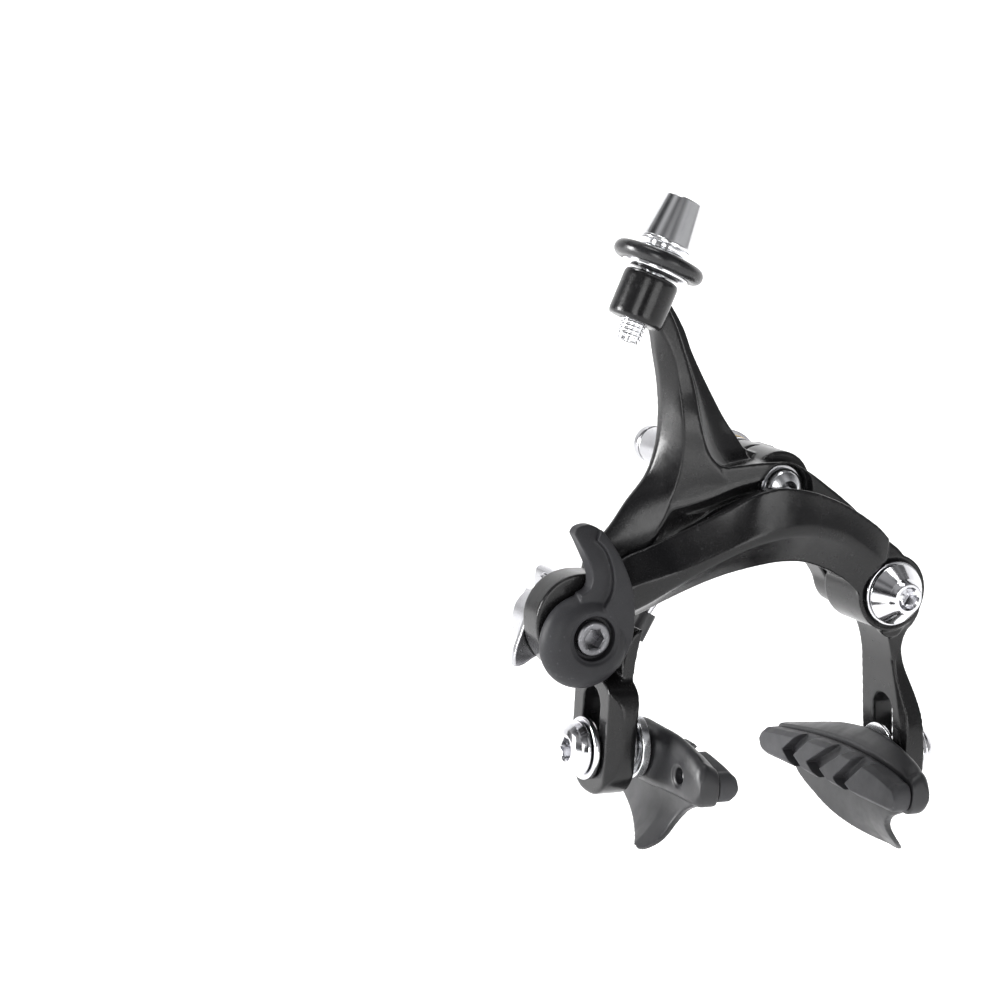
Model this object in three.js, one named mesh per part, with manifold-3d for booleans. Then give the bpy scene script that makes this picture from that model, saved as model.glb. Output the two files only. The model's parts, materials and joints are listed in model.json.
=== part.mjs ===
// Dual-pivot rim brake caliper for a bicycle, as an assembly of separate solids.
// Units: millimetres. +Z up, -Y towards the front (lever side), +Y towards the fork, +X to the right seen from the front.
// Origin: on the centre bolt's axis, in the plane of the rear washer's face that bears on the fork crown.
import * as THREE from 'three';
import * as BGU from 'three/addons/utils/BufferGeometryUtils.js';
import Module from 'manifold-3d';

const wasm = await Module();
wasm.setup();

// ---------- driving dimensions ----------
// the outlines below are laid out on a drawing grid; the centre bolt's axis is at AXIS on it, and the finished
// group is moved so that this axis becomes the part's origin
const AXIS = [0.8, 1.1];               // centre bolt axis, X and Z (axis along Y)
const PIVOT2 = [26.4, -19.4];          // side pivot axis, X and Z (axis along Y)
const BOLT_R = 3.0;                    // M6 centre bolt, shoe bolts and side pivot bolt
const FIT = 0.08;                      // radial running clearance at the pivots
const ARM_BACK = -16.4;                // rear face of the Y-arm body
const BOSS_BACK = -15.6;               // rear face of the pivot bosses
const BRIDGE_F = -14.4, BRIDGE_B = -8; // rear bridge, front and back faces
const PAD_X_L = -16.0, PAD_X_R = 19.5; // braking faces of the two pads, arms open
const PAD_Y = [-46, 5];                // front and back ends of the shoes
const SHOE_BOLT_Y = -23;               // shoe bolts, both sides
const SHOE_Z_L = -49, SHOE_Z_R = -54;  // shoe bolt heights, left and right
const SLOT_W = 6.8;                    // width of the leg slots
const QR_R = 2.85;                     // hole radius at the quick release
const QR = [-41.2, -25.6];             // quick-release axis, X and Z (axis along Y)
const ADJ_TOP = new THREE.Vector3(-24.1, -21.1, 54.9);         // top centre of the cable adjuster
const ADJ_DIR = new THREE.Vector3(-0.347, 0, -0.938).normalize(); // adjuster axis, downwards

// ---------- helpers ----------
function toMan(geo) {
  const g = geo.index ? geo.toNonIndexed() : geo.clone();
  g.deleteAttribute('normal'); g.deleteAttribute('uv');
  const m = BGU.mergeVertices(g, 1e-4);
  let tri = Array.from(m.index.array), keep = [];
  for (let i = 0; i < tri.length; i += 3) {
    const a = tri[i], b = tri[i + 1], c = tri[i + 2];
    if (a !== b && b !== c && a !== c) keep.push(a, b, c);
  }
  const man = new wasm.Manifold(new wasm.Mesh({ numProp: 3, vertProperties: new Float32Array(m.attributes.position.array), triVerts: new Uint32Array(keep) }));
  return man;
}
function toGeo(man) {
  const m = man.getMesh();
  const g = new THREE.BufferGeometry();
  g.setAttribute('position', new THREE.BufferAttribute(new Float32Array(m.vertProperties), 3));
  g.setIndex(new THREE.BufferAttribute(new Uint32Array(m.triVerts), 1));
  g.computeVertexNormals();
  return g;
}
const add = (...a) => a.reduce((p, q) => p.add(q));
const sub = (a, ...b) => b.reduce((p, q) => p.subtract(q), a);
const cut = (...a) => a.reduce((p, q) => p.intersect(q));
function shapeOf(pts) {
  return new THREE.Shape(pts.map(p => new THREE.Vector2(p[0], p[1])));
}
// outline in X,Z extruded along Y
function prismY(pts, y0, y1) {
  const g = new THREE.ExtrudeGeometry(shapeOf(pts), { depth: y1 - y0, bevelEnabled: false });
  g.rotateX(Math.PI / 2); g.translate(0, y1, 0);
  return toMan(g);
}
// outline in Y,Z extruded along X
function prismX(pts, x0, x1) {
  const g = new THREE.ExtrudeGeometry(shapeOf(pts), { depth: x1 - x0, bevelEnabled: false });
  g.applyMatrix4(new THREE.Matrix4().makeBasis(new THREE.Vector3(0, 1, 0), new THREE.Vector3(0, 0, 1), new THREE.Vector3(1, 0, 0)));
  g.translate(x0, 0, 0);
  return toMan(g);
}
// outline in X,Y extruded along Z
function prismZ(pts, z0, z1) {
  const g = new THREE.ExtrudeGeometry(shapeOf(pts), { depth: z1 - z0, bevelEnabled: false });
  g.translate(0, 0, z0);
  return toMan(g);
}
// turned solid: profile [radius, distance along the axis], from o along dir
function turnGeo(prof, o, dir, seg = 26) {
  let pts = prof.map(p => new THREE.Vector2(Math.max(p[0], 0), p[1]));
  let area = 0;
  for (let i = 0; i < pts.length; i++) { const a = pts[i], b = pts[(i + 1) % pts.length]; area += a.x * b.y - b.x * a.y; }
  if (area < 0) pts = pts.reverse();
  if (pts.some(p => p.x > 0 && pts[0].x > 0)) {
    if (pts[0].x > 0 || pts[pts.length - 1].x > 0) pts = [...pts, pts[0].clone()];
  }
  const g = new THREE.LatheGeometry(pts, seg);
  const d = new THREE.Vector3(...dir).normalize();
  const q = new THREE.Quaternion().setFromUnitVectors(new THREE.Vector3(0, 1, 0), d);
  g.applyQuaternion(q); g.translate(o[0], o[1], o[2]);
  return g;
}
function turn(prof, o, dir, seg = 26) {
  const g = turnGeo(prof, o, dir, seg);
  return toMan(orient(g));
}
function orient(g) {
  const n = g.index ? g.toNonIndexed() : g, p = n.attributes.position.array;
  let v = 0;
  for (let i = 0; i < p.length; i += 9) {
    v += p[i] * (p[i + 4] * p[i + 8] - p[i + 5] * p[i + 7]) - p[i + 1] * (p[i + 3] * p[i + 8] - p[i + 5] * p[i + 6]) + p[i + 2] * (p[i + 3] * p[i + 7] - p[i + 4] * p[i + 6]);
  }
  if (v >= 0) return g;
  const q = new Float32Array(p);
  for (let i = 0; i < q.length; i += 9) for (let k = 0; k < 3; k++) { const t = q[i + 3 + k]; q[i + 3 + k] = q[i + 6 + k]; q[i + 6 + k] = t; }
  const r = new THREE.BufferGeometry();
  r.setAttribute('position', new THREE.BufferAttribute(q, 3));
  return r;
}
const cylY = (x, z, r, y0, y1, seg = 28) => turn([[0, 0], [r, 0], [r, y1 - y0], [0, y1 - y0]], [x, y0, z], [0, 1, 0], seg);
const cylX = (y, z, r, x0, x1, seg = 24) => turn([[0, 0], [r, 0], [r, x1 - x0], [0, x1 - x0]], [x0, y, z], [1, 0, 0], seg);
const ring = (ri, ro, t, o, dir, seg = 26) => turn([[ri, 0], [ro, 0], [ro, t], [ri, t]], o, dir, seg);
// straight-sided loft through sections of equal point count
function loft(secs) {
  const n = secs[0].length, pos = [], idx = [];
  secs.forEach(s => s.forEach(p => pos.push(p[0], p[1], p[2])));
  for (let i = 0; i < secs.length - 1; i++) for (let j = 0; j < n; j++) {
    const a = i * n + j, b = i * n + (j + 1) % n, c = a + n, d = b + n;
    idx.push(a, b, d, a, d, c);
  }
  for (let j = 1; j < n - 1; j++) {
    idx.push(0, j + 1, j);
    const o = (secs.length - 1) * n;
    idx.push(o, o + j, o + j + 1);
  }
  const g = new THREE.BufferGeometry();
  g.setAttribute('position', new THREE.BufferAttribute(new Float32Array(pos), 3));
  g.setIndex(idx);
  return toMan(orient(g));
}
// hexagonal socket cutter, across flats af, from o along dir
function hexCut(af, len, o, dir) {
  return turn([[0, 0], [af / Math.sqrt(3), 0], [af / Math.sqrt(3), len], [0, len]], o, dir, 6);
}
// slot cutter through X: centre y, from z0 to z1 (ends rounded)
function slotX(y, z0, z1, w, x0, x1) {
  const r = w / 2, pts = [];
  for (let i = 0; i <= 10; i++) { const a = Math.PI * i / 10; pts.push([y + r * Math.cos(a), z1 - r + r * Math.sin(a)]); }
  for (let i = 0; i <= 10; i++) { const a = Math.PI + Math.PI * i / 10; pts.push([y + r * Math.cos(a), z0 + r + r * Math.sin(a)]); }
  return prismX(pts, x0, x1);
}
const lerpT = (xs, ys, x) => {
  if (x <= xs[0]) return ys[0];
  for (let i = 1; i < xs.length; i++) if (x <= xs[i]) return ys[i - 1] + (ys[i] - ys[i - 1]) * (x - xs[i - 1]) / (xs[i] - xs[i - 1]);
  return ys[ys.length - 1];
};
const adjP = (s, off = [0, 0, 0]) => { const p = ADJ_TOP.clone().addScaledVector(ADJ_DIR, s); return [p.x + off[0], p.y + off[1], p.z + off[2]]; };
const adjD = [ADJ_DIR.x, ADJ_DIR.y, ADJ_DIR.z];

const group = new THREE.Group();
const COL = {
  black: [0x17171a, 0.32, 0.15], matt: [0x303134, 0.6, 0.0], rubber: [0x1c1c1e, 0.55, 0.0],
  chrome: [0xd6d8da, 0.12, 1.0], alu: [0xc9ccd0, 0.3, 1.0], steel: [0xb8bbbf, 0.25, 1.0], brass: [0xc9a24a, 0.3, 1.0], pad: [0x3b3c3f, 0.75, 0.0], nylon: [0xb9b9b4, 0.5, 0.0]
};
function put(name, man, c) {
  const [color, roughness, metalness] = COL[c];
  const m = new THREE.Mesh(toGeo(man), new THREE.MeshStandardMaterial({ color, roughness, metalness }));
  m.name = name;
  group.add(m);
}

// ---------- Y-arm: tower with the cable stop, hub, right branch, left leg ----------
const faceY = x => lerpT([-24, -4], [-22.7, -26.6], x);  // front plane of the arm's face
{
  // tower: left rear edge, front ridge, right ridge, web edge, right rear edge
  const T = [
    [[-33.6, -16.6, 35.0], [-33.6, -21.2, 35.0], [-28.0, -21.2, 39.0], [-27.4, -19.3, 39.2], [-27.4, -16.8, 39.2]],
    [[-27.3, -16.5, 30.2], [-27.0, -21.2, 30.5], [-23.1, -21.4, 30.7], [-20.9, -19.6, 30.8], [-20.7, -16.8, 30.8]],
    [[-26.1, -16.5, 26.0], [-24.4, -21.6, 26.4], [-21.4, -21.8, 26.5], [-18.9, -19.8, 26.6], [-18.6, -16.8, 26.6]],
    [[-24.5, -16.4, 20.2], [-22.3, -22.0, 20.0], [-19.1, -22.3, 20.0], [-14.9, -20.1, 20.0], [-14.6, -16.6, 20.0]],
    [[-23.6, -16.4, 14.0], [-21.6, -23.1, 13.9], [-18.2, -23.8, 13.9], [-10.7, -20.2, 13.9], [-10.4, -16.4, 13.9]],
    [[-23.7, -16.4, 8.3], [-21.1, -23.25, 8.2], [-16.2, -24.2, 8.2], [-6.0, -19.9, 8.5], [-5.6, -16.4, 8.7]],
    [[-25.3, -16.4, 2.5], [-21.6, -23.15, 2.4], [-12.0, -24.9, 2.0], [-4.0, -24.0, 2.0], [-4.0, -16.4, 2.0]],
    [[-29.0, -16.4, -2.6], [-22.7, -22.9, -2.4], [-14.0, -23.0, -3.5], [-8.0, -23.0, -3.5], [-8.0, -16.4, -3.5]],
    [[-32.6, -16.4, -8.0], [-24.4, -22.6, -7.4], [-19.6, -21.4, -8.5], [-14.0, -21.6, -9.5], [-14.0, -16.4, -9.5]],
    [[-36.4, -16.4, -12.2], [-26.6, -21.6, -12.4], [-21.5, -20.5, -13.2], [-17.0, -20.5, -13.4], [-17.0, -16.4, -13.4]],
  ];
  const tower = loft(T);
  // face plate: everything above the chamfer over the front arm
  const wedge = prismZ([[-60, ARM_BACK], [-60, -22.7], [-24, -22.7], [-4, -26.6], [60, -26.6], [60, ARM_BACK]], -80, 60);
  const face = [[-24.8, -8.8], [-22.6, -3.75], [-18.8, -2.3], [-15.0, -1.0], [-10.2, 1.1], [-5.35, 2.6], [0, 2.0], [14, -4], [19.2, -6.4],
    [18.3, -3.9], [14.3, -0.75], [10.6, 1.65], [6.1, 4.4], [2.0, 6.2], [-3.7, 6.35], [-9.6, 5.6], [-12.6, 5.3], [-14.7, 6.55], [-16.2, 8.4], [-18.3, 13.9], [-21.6, 13.9], [-21.1, 8.2], [-21.6, 2.4], [-22.7, -2.4], [-24.3, -7.3]];
  const plate = cut(prismY(face, -30, -17), wedge);
  // chamfer below the face, running back behind the front arm
  const F = [[-23.6, -6.0], [-22.6, -3.75], [-18.8, -2.3], [-15.0, -1.0], [-10.2, 1.1], [-5.35, 2.6]];
  const chin = loft(F.map(([x, z], i) => {
    const y = faceY(x), d = i === 0 ? 1.0 : 2.0;
    return [[x, y, z], [x + 0.9, y + d, z - 2.8], [x + 2.2, ARM_BACK, z - 6.0], [x - 1, ARM_BACK, z + 1.5], [x - 0.2, y + 0.2, z + 1.2]];
  }));
  // recessed body behind the front arm
  const lowY = prismZ([[-60, ARM_BACK], [-60, -20.5], [-26, -20.5], [-12, -22.6], [-6, -24.3], [30, -24.3], [30, ARM_BACK]], -80, 60);
  const low = cut(prismY([[-30, -3.6], [-32.8, -8], [-35.0, -9.6], [-36.6, -11.6], [-37.2, -14.5], [-37.0, -22], [-36.5, -30], [-30, -34], [-26.5, -25], [-22, -18.5], [-16, -14.5], [-8, -11], [0, -10.2], [7, -10.4], [11, -10.8],
    [17, -11.2], [20.6, -9.2], [20.2, -5.2], [14, -1.6], [8, 3.2], [2, 5.6], [-4, 6.2], [-10, 5.0], [-20, 4], [-26, 1.2]], -26, ARM_BACK), lowY);
  const topBack = prismY([[-9, 5], [-7.2, 9.2], [-4.5, 7.7], [-1.1, 6.9], [2.2, 6.4], [8, 4.4], [8, 0], [-9, 0]], -20.0, ARM_BACK);
  const hub = cylY(AXIS[0], AXIS[1], 7.6, BOSS_BACK - 8, BOSS_BACK, 28);
  // left leg
  const legXZ = [[-35.0, -9.6], [-36.6, -11.6], [-37.2, -14.5], [-37.0, -22], [-36.5, -30], [-36.1, -37], [-36.0, -58], [-30.0, -58], [-30.0, -38], [-29.0, -32], [-26.5, -25], [-27, -14]];
  const leg = cut(
    prismY(legXZ, -33, -15),
    prismX([[-15.6, -36], [-15.6, -50], [-16.2, -53], [-17.9, -55.6], [-20.4, -57.2], [-23.4, -57.6], [-26.6, -57.2], [-29.2, -55.6], [-30.9, -53], [-31.5, -50], [-31.5, -41], [-31.0, -38.4], [-29.4, -36.2], [-26.6, -34.8], [-22.4, -34.0], [-20.5, -33.0], [-20.5, -8], [-16.4, -8], [-16.4, -30]], -60, 0));
  const legTop = prismY([[-32.2, -38], [-32.0, -30.5], [-31.2, -27.4], [-29.2, -26.0], [-27.2, -25.6], [-26.6, -25.2], [-29.0, -32], [-29.9, -38]], -27.4, -16.6);
  const legBevel = prismZ([[-38, -33], [-31.4, -33], [-38, -28.6]].map(p => [p[0], p[1]]), -60, -34);
  const innerBevel = prismZ([[-33.2, -33], [-28, -33], [-28, -29.6]], -60, -34);
  // cable stop block at the tower's top
  const stop = add(
    turn([[0, 0], [4.6, 0], [5.3, 0.7], [5.3, 8.5], [4.6, 9.2], [0, 9.2]], adjP(15.4), adjD, 32),
    prismBlock());
  function prismBlock() {
    // squared rear half of the stop
    const g = new THREE.ExtrudeGeometry(shapeOf([[-3.9, 0], [5.0, 0], [5.0, 3.6], [4.2, 4.5], [-3.2, 4.5], [-3.9, 3.8]]), { depth: 9.2, bevelEnabled: false });
    const ex = new THREE.Vector3(0.938, 0, -0.347), ey = new THREE.Vector3(0, 1, 0), ez = ex.clone().cross(ey).normalize();
    g.applyMatrix4(new THREE.Matrix4().makeBasis(ex, ey, ez));
    const p = ez.dot(ADJ_DIR) > 0 ? adjP(15.4) : adjP(24.6);
    g.translate(p[0], p[1], p[2]);
    return toMan(g);
  }
  let arm = add(tower, plate, chin, low, topBack, hub, leg, legTop, stop);
  arm = sub(arm, legBevel, innerBevel,
    cylY(AXIS[0], AXIS[1], 4.28, -40, 0), cylY(AXIS[0], AXIS[1], 4.9, -40, -24.0, 28),
    turn([[0, -2], [2.6, -2], [2.6, 20], [0, 20]], adjP(15.4), adjD, 24),
    turn([[0, 0], [2.1, 0], [2.1, 20], [0, 20]], [16.6, -21, -16], [0, 0, 1], 20),
    slotX(SHOE_BOLT_Y, -52.5, -37.0, SLOT_W, -45, -20));
  put('y_arm', arm, 'black');
}

// ---------- C-arm: front arm with the quick release at its left end and the right leg ----------
{
  // stations along X: top edge, upper ridge, lower ridge, bottom edge (Z and Y of each)
  const S = [
    [-35.0, -14.5, -24.3, -17.8, -27.9, -23.0, -27.5, -25.0, -24.8],
    [-32.5, -12.1, -24.64, -16.86, -28.21, -22.16, -27.7, -24.2, -25.0], [-28, -10.11, -24.87, -15.53, -28.38, -20.1, -27.9, -22.71, -25.01],
    [-24, -8.13, -25.56, -14.25, -28.83, -17.65, -28.3, -20.77, -25.3], [-20, -5.97, -26.62, -12.42, -29.94, -15.05, -29.37, -18.8, -25.91],
    [-16, -3.56, -28.17, -10.27, -31.26, -12.5, -30.64, -16.86, -26.81], [-12, -1.01, -29.84, -8.27, -32.32, -10.31, -31.82, -15.14, -27.9],
    [-8, 1.39, -31.35, -6.54, -32.92, -8.51, -32.52, -13.92, -28.74], [-4, 2.4, -32.09, -5.34, -33.13, -7.29, -32.82, -13.05, -29.12],
    [0, 2.25, -32.39, -4.54, -33.2, -6.79, -32.89, -12.6, -29.2], [4, 1.57, -32.35, -4.6, -32.88, -6.81, -32.62, -12.76, -29.04],
    [8, 0.38, -31.9, -5.38, -32.43, -7.57, -32.19, -13.79, -28.66], [12, -1.07, -31.37, -6.5, -31.93, -8.71, -31.69, -15.31, -28.35],
    [16, -3.01, -30.85, -8.53, -31.42, -10.65, -31.2, -17.55, -28.2], [20, -5.23, -30.31, -11.34, -30.8, -14.27, -30.4, -21.28, -28.1],
    [24, -8.3, -29.5, -14.5, -29.6, -17.5, -29.4, -26.0, -27.9],
  ];
  const backY = x => lerpT([-34, -30, -20, -10, -8, 18, 21, 24], [-23.0, -23.1, -25.2, -27.2, -27.5, -27.5, -27.3, -16.5], x);
  const beam = loft(S.map(([x, tz, ty, az, ay, bz, by, uz, uy]) => {
    const yb = backY(x);
    return [[x, yb, tz - 0.6], [x, Math.min(ty, yb - 0.4), tz], [x, ay, az], [x, by, bz], [x, Math.min(uy, yb - 0.4), uz], [x, yb, uz + 0.6]];
  }));
  const qrBoss = prismY([[-34, -13.6], [-36.5, -16.2], [-40.5, -16.4], [-43.8, -16.9], [-46.0, -18.4], [-47.8, -20.8], [-48.7, -24.2], [-48.2, -28.1], [-46.0, -31.4], [-43, -33.2], [-40, -33.4], [-36.8, -31.8], [-34.8, -29.4], [-33.4, -26.5], [-32, -24.2]], -27.6, -21.3);
  const qrNeck = prismY([[-34, -13.6], [-31.5, -12.4], [-31.5, -23.6], [-34.5, -28], [-38, -28], [-38, -17]], -25.0, -23.1);
  // right leg
  const legXZ = [[22.4, -7.4], [24.6, -8.9], [27.2, -10.7], [29.8, -13.6], [32.1, -16.9], [33.4, -20.0], [33.5, -23], [32.6, -26], [31.7, -29], [31.5, -31.6], [32.2, -34.5], [33.4, -37.5], [34.7, -41], [35.7, -45], [36.6, -52], [37.1, -57], [37.2, -63],
    [32.2, -63], [31.9, -54], [30.9, -45], [30.0, -38], [29.2, -33], [27.6, -28.6], [25.6, -25.6], [23.4, -23.2], [20.8, -20.8]];
  const legYZ = [[BOSS_BACK, -6], [BOSS_BACK, -54], [-16.2, -57.4], [-17.9, -60], [-20.4, -61.6], [-23.3, -62.1], [-26.4, -61.5], [-28.9, -59.8], [-30.4, -57.4], [-31.0, -54], [-31.0, -50], [-30.4, -45], [-28.8, -40.5], [-27.3, -36], [-26.9, -31], [-27.4, -27.6], [-28.6, -25.5], [-28.6, -6]];
  const leg = cut(prismY(legXZ, -34, -14), prismX(legYZ, 10, 45));
  const bevel = prismZ([[26, -33], [32.6, -33], [31.6, -30], [29.4, -26.2], [26, -26.2]], -70, -33.5);
  const boss2 = cylY(PIVOT2[0], PIVOT2[1], 7.8, -28.9, BOSS_BACK, 30);
  const ledge = prismY([[12.8, -13.4], [22, -13.2], [22, -21.6], [18.8, -17.9], [15.4, -15.7], [12.8, -15.0]], -28.0, -16.6);
  const tab = prismY([[24.4, -25.8], [30.6, -25.2], [29.6, -28.2], [27.2, -28.8], [25.2, -27.8]], -28.2, -26.6);
  let arm = add(beam, qrBoss, qrNeck, leg, boss2, ledge, tab);
  arm = sub(arm,
    bevel,
    cylY(PIVOT2[0], PIVOT2[1], 4.38, -40, 0), cylY(PIVOT2[0], PIVOT2[1], 7.1, -40, -28.6, 30),
    cylY(QR[0], QR[1], QR_R, -40, 0, 28),
    slotX(SHOE_BOLT_Y, -57.5, -41.6, SLOT_W, 20, 45));
  put('c_arm', arm, 'black');
}

// ---------- rear bridge: fixed carrier between the centre bolt and the side pivot ----------
{
  const web = prismY([[-3, 6.6], [4.5, 7.8], [10, 2.6], [17, -5.5], [23, -11.2], [30, -14.4], [30, -24.2], [22.6, -24.2], [19.0, -18.2], [13.0, -12.4], [6.5, -9.4], [-2, -6.2]], BRIDGE_F, BRIDGE_B);
  let b = add(web, cylY(AXIS[0], AXIS[1], 7.7, BRIDGE_F, BRIDGE_B, 30), cylY(PIVOT2[0], PIVOT2[1], 6.2, BRIDGE_F, BRIDGE_B - 0.6, 30));
  // spring peg hole below the hub
  b = sub(b, cylY(AXIS[0], AXIS[1], BOLT_R + 0.3, -20, 0), cylY(PIVOT2[0], PIVOT2[1], 2.75, -20, 0, 28), cylY(8.9, -7.4, 1.3, -20, 0, 16));
  put('rear_bridge', b, 'black');
}

// ---------- centre bolt and what is stacked on it, front to back ----------
{
  const prof = [[0, -27.3], [1.2, -27.25], [2.4, -26.95], [3.4, -26.3], [3.9, -25.5], [4.0, -25.0], [4.0, -24.5], [BOLT_R, -24.5], [BOLT_R, 17.5], [2.5, 18], [0, 18]];
  const A0 = y => [AXIS[0], y, AXIS[1]], UY = [0, 1, 0];
  let bolt = turn(prof, A0(0), UY, 26);
  bolt = sub(bolt, hexCut(3, 2.2, A0(-27.6), UY));
  put('centre_bolt', bolt, 'chrome');
  put('front_thrust_washer', ring(BOLT_R + 0.3, 4.5, 0.2, A0(-24.3), UY, 26), 'steel');
  put('centre_bush', ring(BOLT_R + FIT, 4.2, 8.1, A0(-23.8), UY, 32), 'brass');
  put('rear_thrust_washer', ring(BOLT_R + 0.3, 6.4, 0.6, A0(-15.3), UY, 26), 'brass');
  // serrated washer: radial teeth on its rear face
  let ser = ring(BOLT_R + 0.3, 7.0, 2.2, A0(-7.1), UY, 28);
  const teeth = [];
  for (let i = 0; i < 20; i++) {
    const g = new THREE.BoxGeometry(9, 0.8, 0.9); g.translate(5.5 + 1.4, -4.7, 0); g.rotateY(i * Math.PI / 10); g.translate(AXIS[0], 0, AXIS[1]);
    teeth.push(toMan(g));
  }
  put('serrated_washer', sub(ser, ...teeth), 'steel');
  put('concave_washer', turn([[BOLT_R + 0.3, -4.6], [5.2, -4.6], [7.2, -4.0], [7.2, -2.9], [6.0, -2.6], [BOLT_R + 0.3, -2.6]], A0(0), UY, 28), 'brass');
  put('fork_washer', ring(BOLT_R + 0.3, 8.0, 2.3, A0(-2.3), UY, 28), 'steel');
  // sleeve nut, screwed on to the bolt's rear end
  let nut = turn([[BOLT_R + 0.3, 9.5], [3.6, 9.5], [4.0, 9.9], [4.0, 29.5], [3.5, 30.0], [0, 30], [0, 18.6], [BOLT_R + 0.3, 18.6]], A0(0), UY, 26);
  nut = sub(nut, hexCut(5, 6, A0(24.5), UY));
  put('sleeve_nut', nut, 'chrome');
}

// ---------- side pivot ----------
{
  const [px, pz] = PIVOT2;
  let bolt = turn([[0, -34.6], [2.9, -34.6], [3.3, -34.2], [6.1, -30.3], [6.1, -29.9], [BOLT_R, -29.9], [BOLT_R, -14.9], [2.45, -14.6], [2.45, -6.9], [2.1, -6.6], [0, -6.6]], [px, 0, pz], [0, 1, 0], 28);
  bolt = sub(bolt, hexCut(4, 3.6, [px, -35, pz], [0, 1, 0]));
  put('side_pivot_bolt', bolt, 'chrome');
  put('side_pivot_washer', ring(BOLT_R + 0.3, 6.5, 0.7, [px, -29.6, pz], [0, 1, 0], 28), 'chrome');
  put('side_pivot_bush', ring(BOLT_R + FIT, 4.3, 12.6, [px, -28.4, pz], [0, 1, 0], 32), 'brass');
  put('side_thrust_washer', ring(BOLT_R + 0.3, 5.8, 0.6, [px, -15.3, pz], [0, 1, 0], 26), 'brass');
}

// ---------- return spring with its sliding sleeve, centring screw ----------
{
  const tube = (pts, r, seg, steps) => {
    const c = new THREE.CatmullRomCurve3(pts.map(p => new THREE.Vector3(...p)), false, 'centripetal');
    const s = new THREE.Shape(); for (let i = 0; i < seg; i++) { const a = 2 * Math.PI * i / seg; (i ? s.lineTo(r * Math.cos(a), r * Math.sin(a)) : s.moveTo(r * Math.cos(a), r * Math.sin(a))); }
    const g = new THREE.ExtrudeGeometry(s, { steps, extrudePath: c, bevelEnabled: false });
    return toMan(orient(g));
  };
  // hooked in the bridge's peg hole, out behind the bridge, round under the hub, then down to the Y-arm's leg
  put('return_spring', tube([[8.9, -12.5, -7.4], [8.9, -9.5, -7.4], [8.9, -7.2, -7.4], [8.2, -5.7, -8.8], [4.8, -5.5, -11.2], [-1, -6.6, -12.8], [-9, -10.2, -14.4], [-15.5, -13.0, -19.2], [-20.4, -13.3, -25.5], [-22.6, -13.3, -30.0]], 0.85, 10, 30), 'steel');
  const d = new THREE.Vector3(-0.438, 0, -0.899).normalize();
  put('spring_sleeve', ring(1.2, 2.0, 5.6, [-20.45, -13.3, -25.4], [d.x, d.y, d.z], 20), 'nylon');
  let sc = turn([[0, 0], [1.6, 0], [2.0, 0.5], [2.0, 9.2], [0, 9.2]], [16.6, -21, -12.9], [0, 0, 1], 20);
  sc = sub(sc, hexCut(2, 2, [16.6, -21, -5.2], [0, 0, 1]));
  put('centring_screw', sc, 'steel');
}

// ---------- cable adjuster ----------
{
  // ferrule that takes the cable housing, seated in the barrel's rim
  let fer = turn([[2.6, 0], [3.7, 0], [4.0, 0.3], [5.1, 9.0], [4.9, 9.5], [3.4, 9.5], [3.4, 10.0], [1.2, 10.0], [1.2, 6.0], [2.6, 6.0]], adjP(0), adjD, 26);
  put('housing_ferrule', fer, 'alu');
  const barrel = turn([[1.2, 10.3], [4.6, 10.3], [6.7, 11.3], [6.7, 11.5], [5.7, 11.9], [5.7, 13.3], [6.5, 13.7], [6.5, 14.5], [5.0, 15.05], [2.5, 15.05], [2.5, 28.0], [2.2, 28.4], [1.2, 28.4]], adjP(0), adjD, 26);
  put('adjuster_barrel', barrel, 'alu');
  put('adjuster_o_ring', turn([[5.8, 12.0], [6.85, 11.62], [6.9, 11.25], [7.4, 11.1], [8.15, 11.35], [8.65, 11.9], [8.82, 12.6], [8.65, 13.3], [8.15, 13.85], [7.4, 14.1], [6.75, 13.98], [6.65, 13.64], [5.8, 13.2]], adjP(0), adjD, 32), 'rubber');
}

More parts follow.
